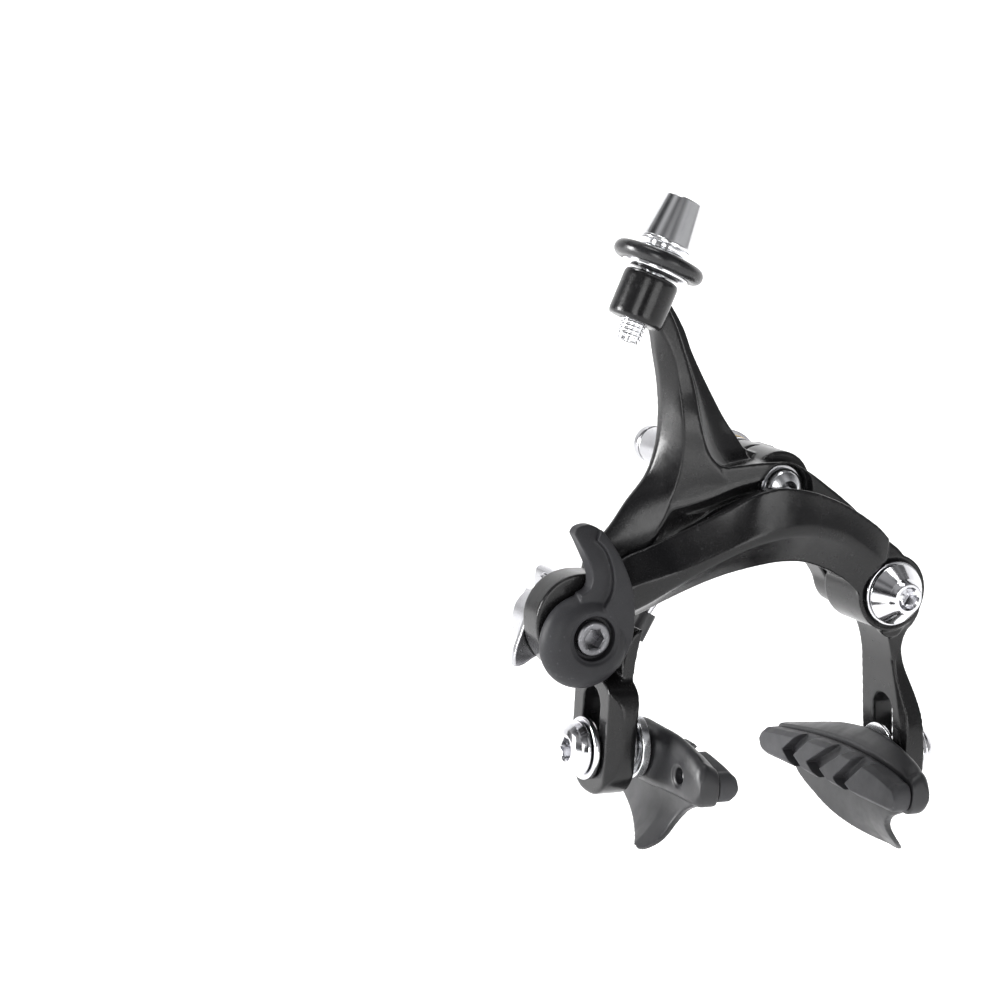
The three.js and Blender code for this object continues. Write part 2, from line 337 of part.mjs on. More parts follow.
// ---------- quick release and cable anchor on the C-arm's left end ----------
{
  const [qx, qz] = QR;
  const disc = turn([[0, -32.6], [4.9, -32.6], [7.2, -31.9], [8.6, -30.6], [9.3, -29.2], [9.3, -28.5], [8.9, -28.2], [0, -28.2]], [qx, 0, qz], [0, 1, 0], 30);
  // curved blade rising from the disc's right side
  const blade = [[-33.0, -28.5], [-32.9, -25.5], [-33.7, -22.0], [-35.1, -18.0], [-36.1, -14.4], [-37.0, -11.2], [-38.3, -7.6], [-39.4, -5.9], [-41.4, -5.2], [-43.2, -5.6], [-43.9, -6.8], [-43.4, -8.6], [-42.5, -10.1], [-41.2, -12.8], [-40.4, -15.6], [-40.9, -18.6], [-42.2, -20.4], [-40, -24]];
  const bl = cut(prismY(blade, -31.6, -24.6), prismX([[-31.6, -30], [-28.2, -30], [-28.2, -15.6], [-24.8, -12.2], [-24.8, -3], [-29.5, -3], [-31.2, -8], [-31.6, -14]], -50, -30));
  let lev = add(disc, bl);
  lev = sub(lev, cylY(qx, qz, 4.4, -40, -30.4, 32), cylY(qx, qz, 2.9, -40, -20, 28));
  put('qr_lever', lev, 'matt');
  let bolt = turn([[0, -32.2], [3.4, -32.2], [3.9, -31.7], [3.9, -30.7], [QR_R - FIT, -30.7], [QR_R - FIT, -6.8], [2.3, -6.3], [0, -6.3]], [qx, 0, qz], [0, 1, 0], 32);
  bolt = sub(bolt, hexCut(4, 2.6, [qx, -32.6, qz], [0, 1, 0]));
  put('qr_cam_bolt', bolt, 'steel');
  put('qr_washer', ring(2.9, 7.5, 0.3, [qx, -27.95, qz], [0, 1, 0], 28), 'steel');
  // tabbed cable plate behind the boss
  let plate = prismY([[-36.9, -22.5], [-38.6, -19.9], [-43.0, -18.8], [-46.6, -20.2], [-48.8, -23.4], [-50.0, -27.0], [-50.6, -30.6], [-50.3, -33.4], [-48.6, -33.2], [-46.8, -31.2], [-44.6, -31.6], [-41.5, -31.8], [-38.6, -30.6], [-37.0, -28.2]], -20.95, -19.5);
  plate = cut(plate, prismX([[-20.95, -40], [-20.95, -10], [-19.5, -10], [-19.5, -40]], -60, -38.4));
  put('anchor_plate', sub(plate, cylY(qx, qz, 2.9, -40, -10, 28)), 'steel');
  // anchor barrel with the pinch screw
  let bar = prismY([[-41.3, -16.6], [-41.9, -16.2], [-43.0, -16.2], [-43.5, -16.6], [-43.6, -20.6], [-45.7, -21.4], [-47.4, -23.6], [-47.8, -27.2], [-46.6, -30.0], [-44, -31.0], [-41, -31.0], [-38.3, -29.9], [-37.4, -27.4], [-37.6, -23.4], [-39.2, -21.6], [-41.3, -21.2]], -19.1, -10.2);
  bar = sub(bar, cylY(qx, qz, QR_R + 0.05, -40, 0, 28), cylX(-14.6, -18.6, 1.6, -55, -30, 16), turn([[0, 0], [0.75, 0], [0.75, 20], [0, 20]], [-45.7, -16.9, -33], [0, 0, 1], 12));
  put('anchor_barrel', bar, 'alu');
  let ps = turn([[0, 0], [1.9, 0], [2.2, 0.3], [2.2, 2.2], [1.5, 2.25], [1.5, 5.4], [1.2, 5.8], [0, 5.8]], [-38.8, -14.6, -18.6], [-1, 0, 0], 20);
  ps = sub(ps, hexCut(2, 1.5, [-38.6, -14.6, -18.6], [-1, 0, 0]));
  put('pinch_screw', ps, 'steel');
  put('anchor_nut', sub(turn([[0, 0], [4.4, 0], [4.8, 0.4], [4.8, 3.2], [0, 3.2]], [qx, -9.9, qz], [0, 1, 0], 6), cylY(qx, qz, QR_R + 0.05, -12, -4, 28)), 'steel');
}

// ---------- brake shoes ----------
// s = -1 left, +1 right; x is measured outwards from the braking face
function shoe(side, px, zc) {
  const s = side === 'left' ? -1 : 1, X = v => px + s * v;
  const ym = (PAD_Y[0] + PAD_Y[1]) / 2;
  // side outline of pad and holder in Y,Z: straight sole, crowned top, rounded ends, back end lower
  const top = y => lerpT([-46, -42.5, -38, -32.5, -24, -12.7, -4, 3, 5], [-0.9, 0.3, 1.1, 1.6, 1.7, 0.9, -0.3, -1.5, -2.0], y);
  const sole = y => -6.4 - (y + 21) * 0.033;
  const bar = (ex, ez) => {
    const y0 = PAD_Y[0] - ex, y1 = PAD_Y[1] + ex, pts = [], n = 6, r = 2.6;
    for (let i = 0; i <= 6; i++) { const y = y0 + r + (y1 - y0 - 2 * r) * i / 6; pts.push([y, zc + sole(y) - ez]); }
    const end = (yc, dir) => {
      const b = zc + sole(yc) - ez, t = zc + top(yc) + ez, m = (b + t) / 2, h = (t - b) / 2;
      for (let i = 1; i < n; i++) { const a = Math.PI * i / n; pts.push([yc + dir * r * Math.pow(Math.sin(a), 0.7), m - dir * h * Math.cos(a)]); }
    };
    end(y1 - r, 1);
    for (let i = 10; i >= 0; i--) { const y = y0 + r + (y1 - y0 - 2 * r) * i / 10; pts.push([y, zc + top(y) + ez]); }
    end(y0 + r, -1);
    return pts;
  };
  const px2 = (p, a, b) => prismX(p, Math.min(X(a), X(b)), Math.max(X(a), X(b)));
  // rubber block with three chevron grooves in its face
  let pad = px2(bar(0, 0), 0, 4.0);
  for (const [ya, za, yt, yb] of [[-6.5, -4.1, -12.7, -10.9], [-16.3, -4.1, -24.0, -20.9], [-26.2, -4.4, -32.5, -30.6]]) {
    const w = 1.15, zt = 3, zz = -8, kt = (yt - ya) / (1.3 - za), kb = (yb - ya) / (-6.4 - za), f = Math.hypot(1, kt), h = Math.hypot(1, kb);
    const P = [[ya + kt * (zt - za) - w * f, zc + zt], [ya - w * f, zc + za], [ya + kb * (zz - za) - w * h, zc + zz], [ya + kb * (zz - za) + w * h, zc + zz], [ya + w * f, zc + za], [ya + kt * (zt - za) + w * f, zc + zt]];
    pad = sub(pad, px2(P, -0.5, 2.4));
  }
  put(side + '_pad', pad, 'pad');
  // holder: plan outline thins to the ends, thick in the middle
  const out = side === 'left' ? 9.6 : 10.4;
  const plan = [[4.3, PAD_Y[0] - 0.2], [8.4, PAD_Y[0] - 0.2], [8.9, PAD_Y[0] + 1], [out - 0.35, ym - 10], [out, ym - 7], [out, ym + 5], [out - 0.35, ym + 9], [8.8, PAD_Y[1] - 1], [8.2, PAD_Y[1] + 0.2], [4.3, PAD_Y[1] + 0.2]].map(([a, y]) => [X(a), y]);
  let hold = cut(px2(bar(0.3, 0.7), 4.3, 12), prismZ(s > 0 ? plan : plan.slice().reverse(), -90, -20));
  // fin below the sole: a thin blade that curves outwards, deepest a third of the way back from the front end
  const finAt = (y, dep, fl) => {
    const o = [[4.6, -5.0], [4.6 + 0.10 * fl, -5.0 - 0.35 * dep], [4.6 + 0.42 * fl, -5.0 - 0.70 * dep], [4.6 + fl, -5.0 - dep], [3.6 + fl + 0.9, -5.2 - dep], [6.3 + 0.42 * fl, -5.0 - 0.66 * dep], [6.3 + 0.12 * fl, -5.0 - 0.33 * dep], [6.4, -5.0]];
    return o.map(([a, z]) => [X(a), y, zc + z]);
  };
  hold = add(hold, loft([finAt(-43.4, 2.6, 0.1), finAt(-40.5, 5.4, 1.6), finAt(-36.5, 9.6, 3.6), finAt(-33.2, 12.4, 4.9), finAt(-31, 11.6, 4.5), finAt(-24, 8.2, 3.0), finAt(-16, 4.6, 1.5), finAt(-9, 2.4, 0.3)]));
  const by = SHOE_BOLT_Y;
  const cyl = (y, z, r, a, b, seg = 28) => cylX(y, z, r, Math.min(X(a), X(b)), Math.max(X(a), X(b)), seg);
  hold = sub(hold, cyl(by, zc, 3.3, 5.2, 14), cyl(-38, zc - 2, 1.55, 4.0, 14, 18));
  put(side + '_holder', hold, 'rubber');
  put(side + '_pad_screw', sub(cyl(-38, zc - 2, 1.25, 4.3, out - 2.6, 18), side === 'left' ? hexCut(1.5, 1.4, [X(out - 2.6) - 0.2, -38, zc - 2], [1, 0, 0]) : hexCut(1.5, 1.4, [X(out - 2.6) + 0.2, -38, zc - 2], [-1, 0, 0])), 'steel');
  return { X, s, out };
}
{
  const { X } = shoe('left', PAD_X_L, SHOE_Z_L);
  const y = SHOE_BOLT_Y, z = SHOE_Z_L;
  // dished washer against the holder, domed washer against the leg
  put('left_cup_washer', turn([[3.3, 0], [6.4, 0], [6.4, 1.6], [5.9, 2.0], [4.6, 1.3], [3.3, 1.0]], [X(9.6) - 0.3, y, z], [-1, 0, 0], 26), 'alu');
  put('left_dome_washer', turn([[3.3, 1.35], [4.5, 1.65], [5.2, 2.5], [6.2, 2.9], [6.2, 3.75], [3.3, 3.75]], [X(9.6) - 0.3, y, z], [-1, 0, 0], 26), 'alu');
  put('left_flange_washer', ring(3.3, 6.0, 1.3, [-36.3, y, z], [-1, 0, 0], 26), 'chrome');
  let b = turn([[0, 0], [BOLT_R, 0], [BOLT_R, 16.3], [5.25, 16.3], [5.25, 16.9], [4.6, 18.2], [3.3, 19.1], [2.4, 19.3], [0, 19.3]], [-21.6, y, z], [-1, 0, 0], 26);
  b = sub(b, hexCut(4, 3, [-38.4, y, z], [-1, 0, 0]));
  put('left_shoe_bolt', b, 'chrome');
}
{
  const { X } = shoe('right', PAD_X_R, SHOE_Z_R);
  const y = SHOE_BOLT_Y, z = SHOE_Z_R;
  put('right_inner_washer', ring(3.3, 6.0, 0.65, [X(10.4) + 0.3, y, z], [1, 0, 0], 26), 'alu');
  put('right_flange_washer', ring(3.3, 6.0, 1.2, [37.75, y, z], [1, 0, 0], 26), 'chrome');
  let b = turn([[0, 0], [BOLT_R, 0], [BOLT_R, 14.1], [5.25, 14.1], [5.25, 14.7], [4.6, 16.0], [3.3, 16.9], [2.4, 17.1], [0, 17.1]], [25.15, y, z], [1, 0, 0], 26);
  b = sub(b, hexCut(4, 3, [39.7, y, z], [1, 0, 0]));
  put('right_shoe_bolt', b, 'chrome');
}

// bring the centre bolt's axis to the origin
const part = new THREE.Group();
group.position.set(-AXIS[0], 0, -AXIS[1]);
part.add(group);

export default part;
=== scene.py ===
import bpy, bmesh, math, json
import numpy as np
from mathutils import Vector, Matrix
from mathutils.geometry import tessellate_polygon


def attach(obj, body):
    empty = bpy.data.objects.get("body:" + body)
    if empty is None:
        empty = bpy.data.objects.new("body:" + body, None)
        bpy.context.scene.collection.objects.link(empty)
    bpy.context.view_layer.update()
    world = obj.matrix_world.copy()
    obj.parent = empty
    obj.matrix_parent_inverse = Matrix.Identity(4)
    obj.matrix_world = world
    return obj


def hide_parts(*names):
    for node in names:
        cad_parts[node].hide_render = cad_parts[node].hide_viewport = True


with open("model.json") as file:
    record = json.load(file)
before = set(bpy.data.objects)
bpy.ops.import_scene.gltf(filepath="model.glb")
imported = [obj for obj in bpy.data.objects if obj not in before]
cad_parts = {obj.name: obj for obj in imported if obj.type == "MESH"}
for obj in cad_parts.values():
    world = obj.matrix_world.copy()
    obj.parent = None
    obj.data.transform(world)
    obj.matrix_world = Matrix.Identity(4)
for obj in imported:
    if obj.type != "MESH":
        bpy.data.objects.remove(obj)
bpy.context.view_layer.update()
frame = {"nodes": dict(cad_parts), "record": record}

SC = bpy.context.scene
AX, AZ = 0.8, 1.1            # drawing grid's place of the centre bolt axis, mm
BOLT_R = 3.0


def row(p):
    """drawing-grid millimetres to the row frame in metres"""
    p = np.asarray(p, float).reshape(-1, 3)
    return (p - np.array([AX, 0.0, AZ])) * 0.001


# ------------------------------------------------------------------ camera
def camera():
    a, e, r = math.radians(-31.04), math.radians(9.19), math.radians(5.11)
    T = np.array([0 - AX, -8.0, -5.0 - AZ]) * 0.001
    back = np.array([math.sin(a) * math.cos(e), -math.cos(a) * math.cos(e), math.sin(e)])
    right = np.array([math.cos(a), math.sin(a), 0.0])
    up = np.cross(back, right)
    rx = math.cos(r) * right + math.sin(r) * up
    uy = -math.sin(r) * right + math.cos(r) * up
    loc = T + back * 0.4529
    cam = bpy.data.cameras.new("camera")
    cam.lens = 2264.5 / 1000 * 36
    cam.sensor_width = 36
    cam.shift_x = -0.23255
    cam.shift_y = 0.00347
    cam.clip_start = 0.01
    cam.clip_end = 50
    cam.dof.use_dof = False
    ob = bpy.data.objects.new("camera", cam)
    m = Matrix((
        (rx[0], uy[0], back[0], loc[0]),
        (rx[1], uy[1], back[1], loc[1]),
        (rx[2], uy[2], back[2], loc[2]),
        (0, 0, 0, 1)))
    ob.matrix_world = m
    SC.collection.objects.link(ob)
    SC.camera = ob


camera()


# ------------------------------------------------------------------ splines and outlines
def knots_of(P, power=0.5):
    d = np.linalg.norm(np.diff(P, axis=0), axis=1)
    return np.concatenate([[0], np.cumsum(np.maximum(d, 1e-9) ** power)])


def hermite(t, P, u):
    """non-uniform Catmull-Rom through P (m, ...) at knots t, sampled at u"""
    P = np.asarray(P, float)
    m = len(P)
    sh = (m,) + (1,) * (P.ndim - 1)
    if m == 2:
        w = ((u - t[0]) / (t[1] - t[0])).reshape((-1,) + (1,) * (P.ndim - 1))
        return P[0] * (1 - w) + P[1] * w
    h = np.diff(t).reshape((m - 1,) + (1,) * (P.ndim - 1))
    s = np.diff(P, axis=0) / h
    M = np.zeros_like(P)
    M[1:-1] = (s[:-1] * h[1:] + s[1:] * h[:-1]) / (h[1:] + h[:-1])
    M[0] = 1.5 * s[0] - 0.5 * M[1]
    M[-1] = 1.5 * s[-1] - 0.5 * M[-2]
    i = np.clip(np.searchsorted(t, u, side="right") - 1, 0, m - 2)
    hh = (t[i + 1] - t[i])
    x = (u - t[i]) / hh
    ex = (slice(None),) + (None,) * (P.ndim - 1)
    x, hh = x[ex], hh[ex]
    return ((2 * x**3 - 3 * x**2 + 1) * P[i] + (x**3 - 2 * x**2 + x) * hh * M[i]
            + (-2 * x**3 + 3 * x**2) * P[i + 1] + (x**3 - x**2) * hh * M[i + 1])


def curve(P, step=0.7):
    """open spline through P at about that spacing"""
    P = np.asarray(P, float)
    t = knots_of(P)
    out = []
    for i in range(len(P) - 1):
        n = max(1, int(round(np.linalg.norm(P[i + 1] - P[i]) / step)))
        out.append(t[i] + (t[i + 1] - t[i]) * np.arange(n) / n)
    out.append([t[-1]])
    return hermite(t, P, np.concatenate(out))


def poly(P, step=0.7, corner=36.0):
    """closed outline: splines between corners that turn more than that angle"""
    P = np.asarray(P, float)
    n = len(P)
    a = P - np.roll(P, 1, 0)
    b = np.roll(P, -1, 0) - P
    ang = np.degrees(np.abs((np.arctan2(b[:, 1], b[:, 0]) - np.arctan2(a[:, 1], a[:, 0]) + np.pi) % (2 * np.pi) - np.pi))
    cs = [i for i in range(n) if ang[i] > corner]
    if not cs:
        Q = np.concatenate([P[-2:], P, P[:3]])
        t = knots_of(Q)
        us = []
        for i in range(2, 2 + n):
            k = max(1, int(round(np.linalg.norm(Q[i + 1] - Q[i]) / step)))
            us.append(t[i] + (t[i + 1] - t[i]) * np.arange(k) / k)
        return hermite(t, Q, np.concatenate(us))
    P = np.roll(P, -cs[0], 0)
    cs = [(c - cs[0]) for c in cs] + [n]
    Q = np.concatenate([P, P[:1]])
    out = []
    for c0, c1 in zip(cs[:-1], cs[1:]):
        out.append(curve(Q[c0:c1 + 1], step)[:-1])
    return np.concatenate(out)


# ------------------------------------------------------------------ meshes (millimetres on the drawing grid)
def mk(name, V, F):
    me = bpy.data.meshes.new(name)
    me.from_pydata([tuple(map(float, v)) for v in V], [], [tuple(map(int, f)) for f in F])
    me.update()
    bm = bmesh.new()
    bm.from_mesh(me)
    bmesh.ops.recalc_face_normals(bm, faces=bm.faces)
    bm.to_mesh(me)
    bm.free()
    o = bpy.data.objects.new(name, me)
    SC.collection.objects.link(o)
    return o


def prism(P, axis, lo, hi, step=0.7, corner=36.0):
    """axis Y: P is (x, z); axis X: P is (y, z); axis Z: P is (x, y)"""
    Q = poly(P, step, corner) if step else np.asarray(P, float)
    n = len(Q)
    idx = {"Y": (0, 2, 1), "X": (1, 2, 0), "Z": (0, 1, 2)}[axis]
    V = np.zeros((2 * n, 3))
    V[:n, idx[0]] = Q[:, 0]; V[:n, idx[1]] = Q[:, 1]; V[:n, idx[2]] = lo
    V[n:] = V[:n]; V[n:, idx[2]] = hi
    tris = tessellate_polygon([[Vector((p[0], p[1], 0)) for p in Q]])
    F = [(i, (i + 1) % n, n + (i + 1) % n, n + i) for i in range(n)]
    F += [tuple(t) for t in tris] + [tuple(n + i for i in reversed(t)) for t in tris]
    return mk("p", V, F)


def loft(S, step=0.8, edges=None, closed=True):
    """S (stations, corners, 3), splined along the stations; edges gives each side's (parts, bulge vector)"""
    S = np.asarray(S, float)
    if step:
        d = np.linalg.norm(np.diff(S, axis=0), axis=2).mean(1)
        t = np.concatenate([[0], np.cumsum(np.maximum(d, 1e-6))])
        n = max(2, int(round(t[-1] / step)))
        u = np.linspace(0, t[-1], n + 1)
        S = hermite(t, S, u)
    m, K = S.shape[:2]
    if edges is None:
        edges = [(1, None)] * K
    cols = []
    for k in range(K):
        a, b = S[:, k], S[:, (k + 1) % K]
        cnt, bul = edges[k]
        for j in range(cnt):
            w = j / cnt
            p = a * (1 - w) + b * w
            if bul is not None:
                p = p + 4 * w * (1 - w) * (bul(m) if callable(bul) else np.asarray(bul, float))
            cols.append(p)
    G = np.stack(cols, 1)
    m, K = G.shape[:2]
    V = G.reshape(-1, 3)
    F = []
    for i in range(m - 1):
        for j in range(K):
            F.append((i * K + j, i * K + (j + 1) % K, (i + 1) * K + (j + 1) % K, (i + 1) * K + j))
    c0, c1 = len(V), len(V) + 1
    V = np.concatenate([V, [G[0].mean(0)], [G[-1].mean(0)]])
    for j in range(K):
        F.append((c0, (j + 1) % K, j))
        F.append((c1, (m - 1) * K + j, (m - 1) * K + (j + 1) % K))
    return mk("l", V, F)


def frame_of(d):
    d = np.asarray(d, float); d = d / np.linalg.norm(d)
    r = np.array([0, 0, 1.0]) if abs(d[2]) < 0.9 else np.array([1.0, 0, 0])
    e1 = np.cross(r, d); e1 /= np.linalg.norm(e1)
    return e1, np.cross(d, e1), d


def rounded(prof, r=0.15, closed=False, n=4):
    """fillets the corners of a turned profile; points marked with a third value are left alone"""
    out = []
    m = len(prof)
    for i, p in enumerate(prof):
        if len(p) > 2 or (not closed and i in (0, m - 1)):
            out.append(tuple(p)); continue
        a, b, c = np.array(prof[i - 1][:2], float), np.array(p[:2], float), np.array(prof[(i + 1) % m][:2], float)
        la, lc = np.linalg.norm(a - b), np.linalg.norm(c - b)
        if la < 1e-6 or lc < 1e-6:
            out.append(tuple(p)); continue
        cosang = np.dot((a - b) / la, (c - b) / lc)
        if cosang < -0.985:
            out.append(tuple(p)); continue
        da, dc = min(r, 0.45 * la), min(r, 0.45 * lc)
        A, C = b + (a - b) / la * da, b + (c - b) / lc * dc
        for k in range(n + 1):
            w = k / n
            q = A * (1 - w) ** 2 + 2 * b * w * (1 - w) + C * w * w
            out.append((max(q[0], 0.0), q[1]))
    return out


def lathe(prof, o, d, seg=96, closed=None, fillet=0.15, mod=None, rot=0.0):
    """turned solid: (radius, distance[, 'h']) where h is the half width of a hexagon"""
    if closed is None:
        closed = prof[0][0] > 1e-6 and prof[-1][0] > 1e-6
    if fillet:
        prof = rounded(prof, fillet, closed)
    e1, e2, d = frame_of(d)
    o = np.asarray(o, float)
    th = 2 * np.pi * np.arange(seg) / seg
    hexr = 1 / np.cos((th % (np.pi / 3)) - np.pi / 6)
    V, ringi = [], []
    for p in prof:
        r, s = p[0], p[1]
        if r < 1e-6:
            ringi.append((len(V), True)); V.append(o + d * s); continue
        rr = r * hexr if (len(p) > 2 and p[2] == "h") else np.full(seg, float(r))
        ss = np.full(seg, float(s))
        if mod is not None:
            rr, ss = mod(rr, ss, th)
        ringi.append((len(V), False))
        for j in range(seg):
            V.append(o + d * ss[j] + rr[j] * (math.cos(th[j] + rot) * e1 + math.sin(th[j] + rot) * e2))
    F = []
    pairs = list(zip(ringi[:-1], ringi[1:])) + ([(ringi[-1], ringi[0])] if closed else [])
    for (a, pa), (b, pb) in pairs:
        for j in range(seg):
            k = (j + 1) % seg
            if pa and pb:
                continue
            if pa:
                F.append((a, b + j, b + k))
            elif pb:
                F.append((a + j, b, a + k))
            else:
                F.append((a + j, b + j, b + k, a + k))
    return mk("t", V, F)


def cyl(o, d, r, s0, s1, seg=96):
    return lathe([(0, s0), (r, s0), (r, s1), (0, s1)], o, d, seg, fillet=0)


def cylY(x, z, r, y0, y1, seg=96):
    return cyl((x, 0, z), (0, 1, 0), r, y0, y1, seg)


def cylX(y, z, r, x0, x1, seg=64):
    return cyl((0, y, z), (1, 0, 0), r, x0, x1, seg)


def drop(o):
    me = o.data
    bpy.data.objects.remove(o)
    if me.users == 0:
        bpy.data.meshes.remove(me)


def baked(o):
    """the object's mesh with its modifiers applied"""
    dg = bpy.context.evaluated_depsgraph_get()
    me = bpy.data.meshes.new_from_object(o.evaluated_get(dg))
    old = o.data
    o.modifiers.clear()
    o.data = me
    if old.users == 0:
        bpy.data.meshes.remove(old)
    return o


def boolean(a, b, op):
    m = a.modifiers.new("b", "BOOLEAN")
    m.operation = op
    m.solver = "MANIFOLD"
    m.object = b
    baked(a)
    drop(b)
    return a


def add(a, *bs):
    """one mesh from overlapping closed shells; the next remesh fuses them"""
    bm = bmesh.new()
    bm.from_mesh(a.data)
    for b in bs:
        bm.from_mesh(b.data)
        drop(b)
    bm.to_mesh(a.data)
    bm.free()
    return a


def fuse(a, voxel):
    m = a.modifiers.new("r", "REMESH")
    m.mode = "VOXEL"
    m.voxel_size = voxel
    return baked(a)


def sub(a, *bs, voxel=0.0):
    if voxel:
        fuse(a, voxel)
    for b in bs:
        boolean(a, b, "DIFFERENCE")
    return a


def cut(a, *bs):
    for b in bs:
        boolean(a, b, "INTERSECT")
    return a


def soften(o, voxel=0.3, smooth=8, factor=0.5):
    """even surface with rounded edges: voxel remesh, then smoothing"""
    m = o.modifiers.new("r", "REMESH")
    m.mode = "VOXEL"
    m.voxel_size = voxel
    m.adaptivity = 0
    if smooth:
        s = o.modifiers.new("s", "SMOOTH")
        s.factor = factor
        s.iterations = smooth
    return baked(o)


def slotX(y, z0, z1, w, x0, x1):
    r = w / 2
    P = [(y + r * math.cos(a), z1 - r + r * math.sin(a)) for a in np.linspace(0, math.pi, 25)]
    P += [(y + r * math.cos(a), z0 + r + r * math.sin(a)) for a in np.linspace(math.pi, 2 * math.pi, 25)]
    return prism(P, "X", x0, x1, step=None)


def tube(P, r, seg=24, step=0.5):
    C = curve(P, step)
    T = np.gradient(C, axis=0); T /= np.linalg.norm(T, axis=1)[:, None]
    e1, _, _ = frame_of(T[0])
    V = []
    for i in range(len(C)):
        e1 = e1 - T[i] * np.dot(e1, T[i]); e1 /= np.linalg.norm(e1)
        e2 = np.cross(T[i], e1)
        for j in range(seg):
            a = 2 * math.pi * j / seg
            V.append(C[i] + r * (math.cos(a) * e1 + math.sin(a) * e2))
    V.append(C[0]); V.append(C[-1])
    F = [(i * seg + j, i * seg + (j + 1) % seg, (i + 1) * seg + (j + 1) % seg, (i + 1) * seg + j) for i in range(len(C) - 1) for j in range(seg)]
    n = len(C)
    F += [(n * seg, (j + 1) % seg, j) for j in range(seg)] + [(n * seg + 1, (n - 1) * seg + j, (n - 1) * seg + (j + 1) % seg) for j in range(seg)]
    return mk("tube", V, F)


# ------------------------------------------------------------------ materials
def nd(nt, kind, **kw):
    n = nt.nodes.new(kind)
    for k, v in kw.items():
        setattr(n, k, v)
    return n


def noise(nt, vec, scale, detail=3.0, rough=0.5):
    n = nd(nt, "ShaderNodeTexNoise")
    n.inputs["Scale"].default_value = scale
    n.inputs["Detail"].default_value = detail
    n.inputs["Roughness"].default_value = rough
    nt.links.new(vec, n.inputs["Vector"])
    return n.outputs["Fac"]


def ramp(nt, fac, lo, hi, a=0.3, b=0.7):
    m = nd(nt, "ShaderNodeMapRange")
    m.inputs["From Min"].default_value = a
    m.inputs["From Max"].default_value = b
    m.inputs["To Min"].default_value = lo
    m.inputs["To Max"].default_value = hi
    nt.links.new(fac, m.inputs["Value"])
    return m.outputs["Result"]


def mixc(nt, fac, c1, c2):
    m = nd(nt, "ShaderNodeMix", data_type="RGBA")
    if isinstance(fac, float):
        m.inputs[0].default_value = fac
    else:
        nt.links.new(fac, m.inputs[0])
    for i, c in ((6, c1), (7, c2)):
        if isinstance(c, (tuple, list)):
            m.inputs[i].default_value = (*c, 1)
        else:
            nt.links.new(c, m.inputs[i])
    return m.outputs[2]


def material(name, base, light, rough, rvar=0.05, metal=0.0, ior=1.5, coat=0.0, coat_rough=0.1, grain=(), patch=60.0,
             edge=None, axis=None, turned=None, aniso=0.0, speck=None):
    """grain: list of (scale per metre, bump strength, distance); edge: (colour, amount) of a lighter colour on convex
    edges, partly paint wear and partly a painted edge highlight; turned: groove density and strength about an axis
    """
    m = bpy.data.materials.new(name)
    m.use_nodes = True
    nt = m.node_tree
    bs = nt.nodes["Principled BSDF"]
    bs.inputs["Metallic"].default_value = metal
    bs.inputs["IOR"].default_value = ior
    bs.inputs["Coat Weight"].default_value = coat
    bs.inputs["Coat Roughness"].default_value = coat_rough
    if aniso:
        bs.inputs["Anisotropic"].default_value = aniso
    tc = nd(nt, "ShaderNodeTexCoord")
    v = tc.outputs["Object"]
    pn = noise(nt, v, patch, 4.0)
    col = mixc(nt, ramp(nt, pn, 0.0, 1.0), base, light)
    if speck:
        sn = noise(nt, v, speck[0], 2.0)
        col = mixc(nt, ramp(nt, sn, 0.0, speck[2], 0.6, 0.75), col, speck[1])
    # lighter colour on convex edges by pointiness: partly paint wear, partly a painted highlight along the edges
    if edge:
        ge = nd(nt, "ShaderNodeNewGeometry")
        en = noise(nt, v, 900.0, 4.0)
        f = ramp(nt, ge.outputs["Pointiness"], 0.0, 1.0, 0.53, 0.62)
        mu = nd(nt, "ShaderNodeMath", operation="MULTIPLY")
        nt.links.new(f, mu.inputs[0])
        nt.links.new(ramp(nt, en, 0.2 * edge[1], edge[1], 0.4, 0.65), mu.inputs[1])
        col = mixc(nt, mu.outputs[0], col, edge[0])
    nt.links.new(col, bs.inputs["Base Color"])
    rn = noise(nt, v, patch * 6, 5.0)
    nt.links.new(ramp(nt, rn, max(rough - rvar, 0.02), rough + rvar), bs.inputs["Roughness"])
    last = None
    if turned:
        ax, dens, st = axis, turned[0], turned[1]
        dp = nd(nt, "ShaderNodeVectorMath", operation="DOT_PRODUCT")
        dp.inputs[1].default_value = tuple(ax)
        nt.links.new(v, dp.inputs[0])
        t1 = nd(nt, "ShaderNodeTexNoise", noise_dimensions="1D")
        t1.inputs["Scale"].default_value = dens
        t1.inputs["Detail"].default_value = 3
        nt.links.new(dp.outputs["Value"], t1.inputs["W"])
        b = nd(nt, "ShaderNodeBump")
        b.inputs["Strength"].default_value = st
        b.inputs["Distance"].default_value = 0.00002
        nt.links.new(t1.outputs["Fac"], b.inputs["Height"])
        last = b.outputs["Normal"]
    for sc, st, di in grain:
        g = noise(nt, v, sc, 3.0)
        b = nd(nt, "ShaderNodeBump")
        b.inputs["Strength"].default_value = st
        b.inputs["Distance"].default_value = di
        nt.links.new(g, b.inputs["Height"])
        if last is not None:
            nt.links.new(last, b.inputs["Normal"])
        last = b.outputs["Normal"]
    if last is not None:
        nt.links.new(last, bs.inputs["Normal"])
    return m


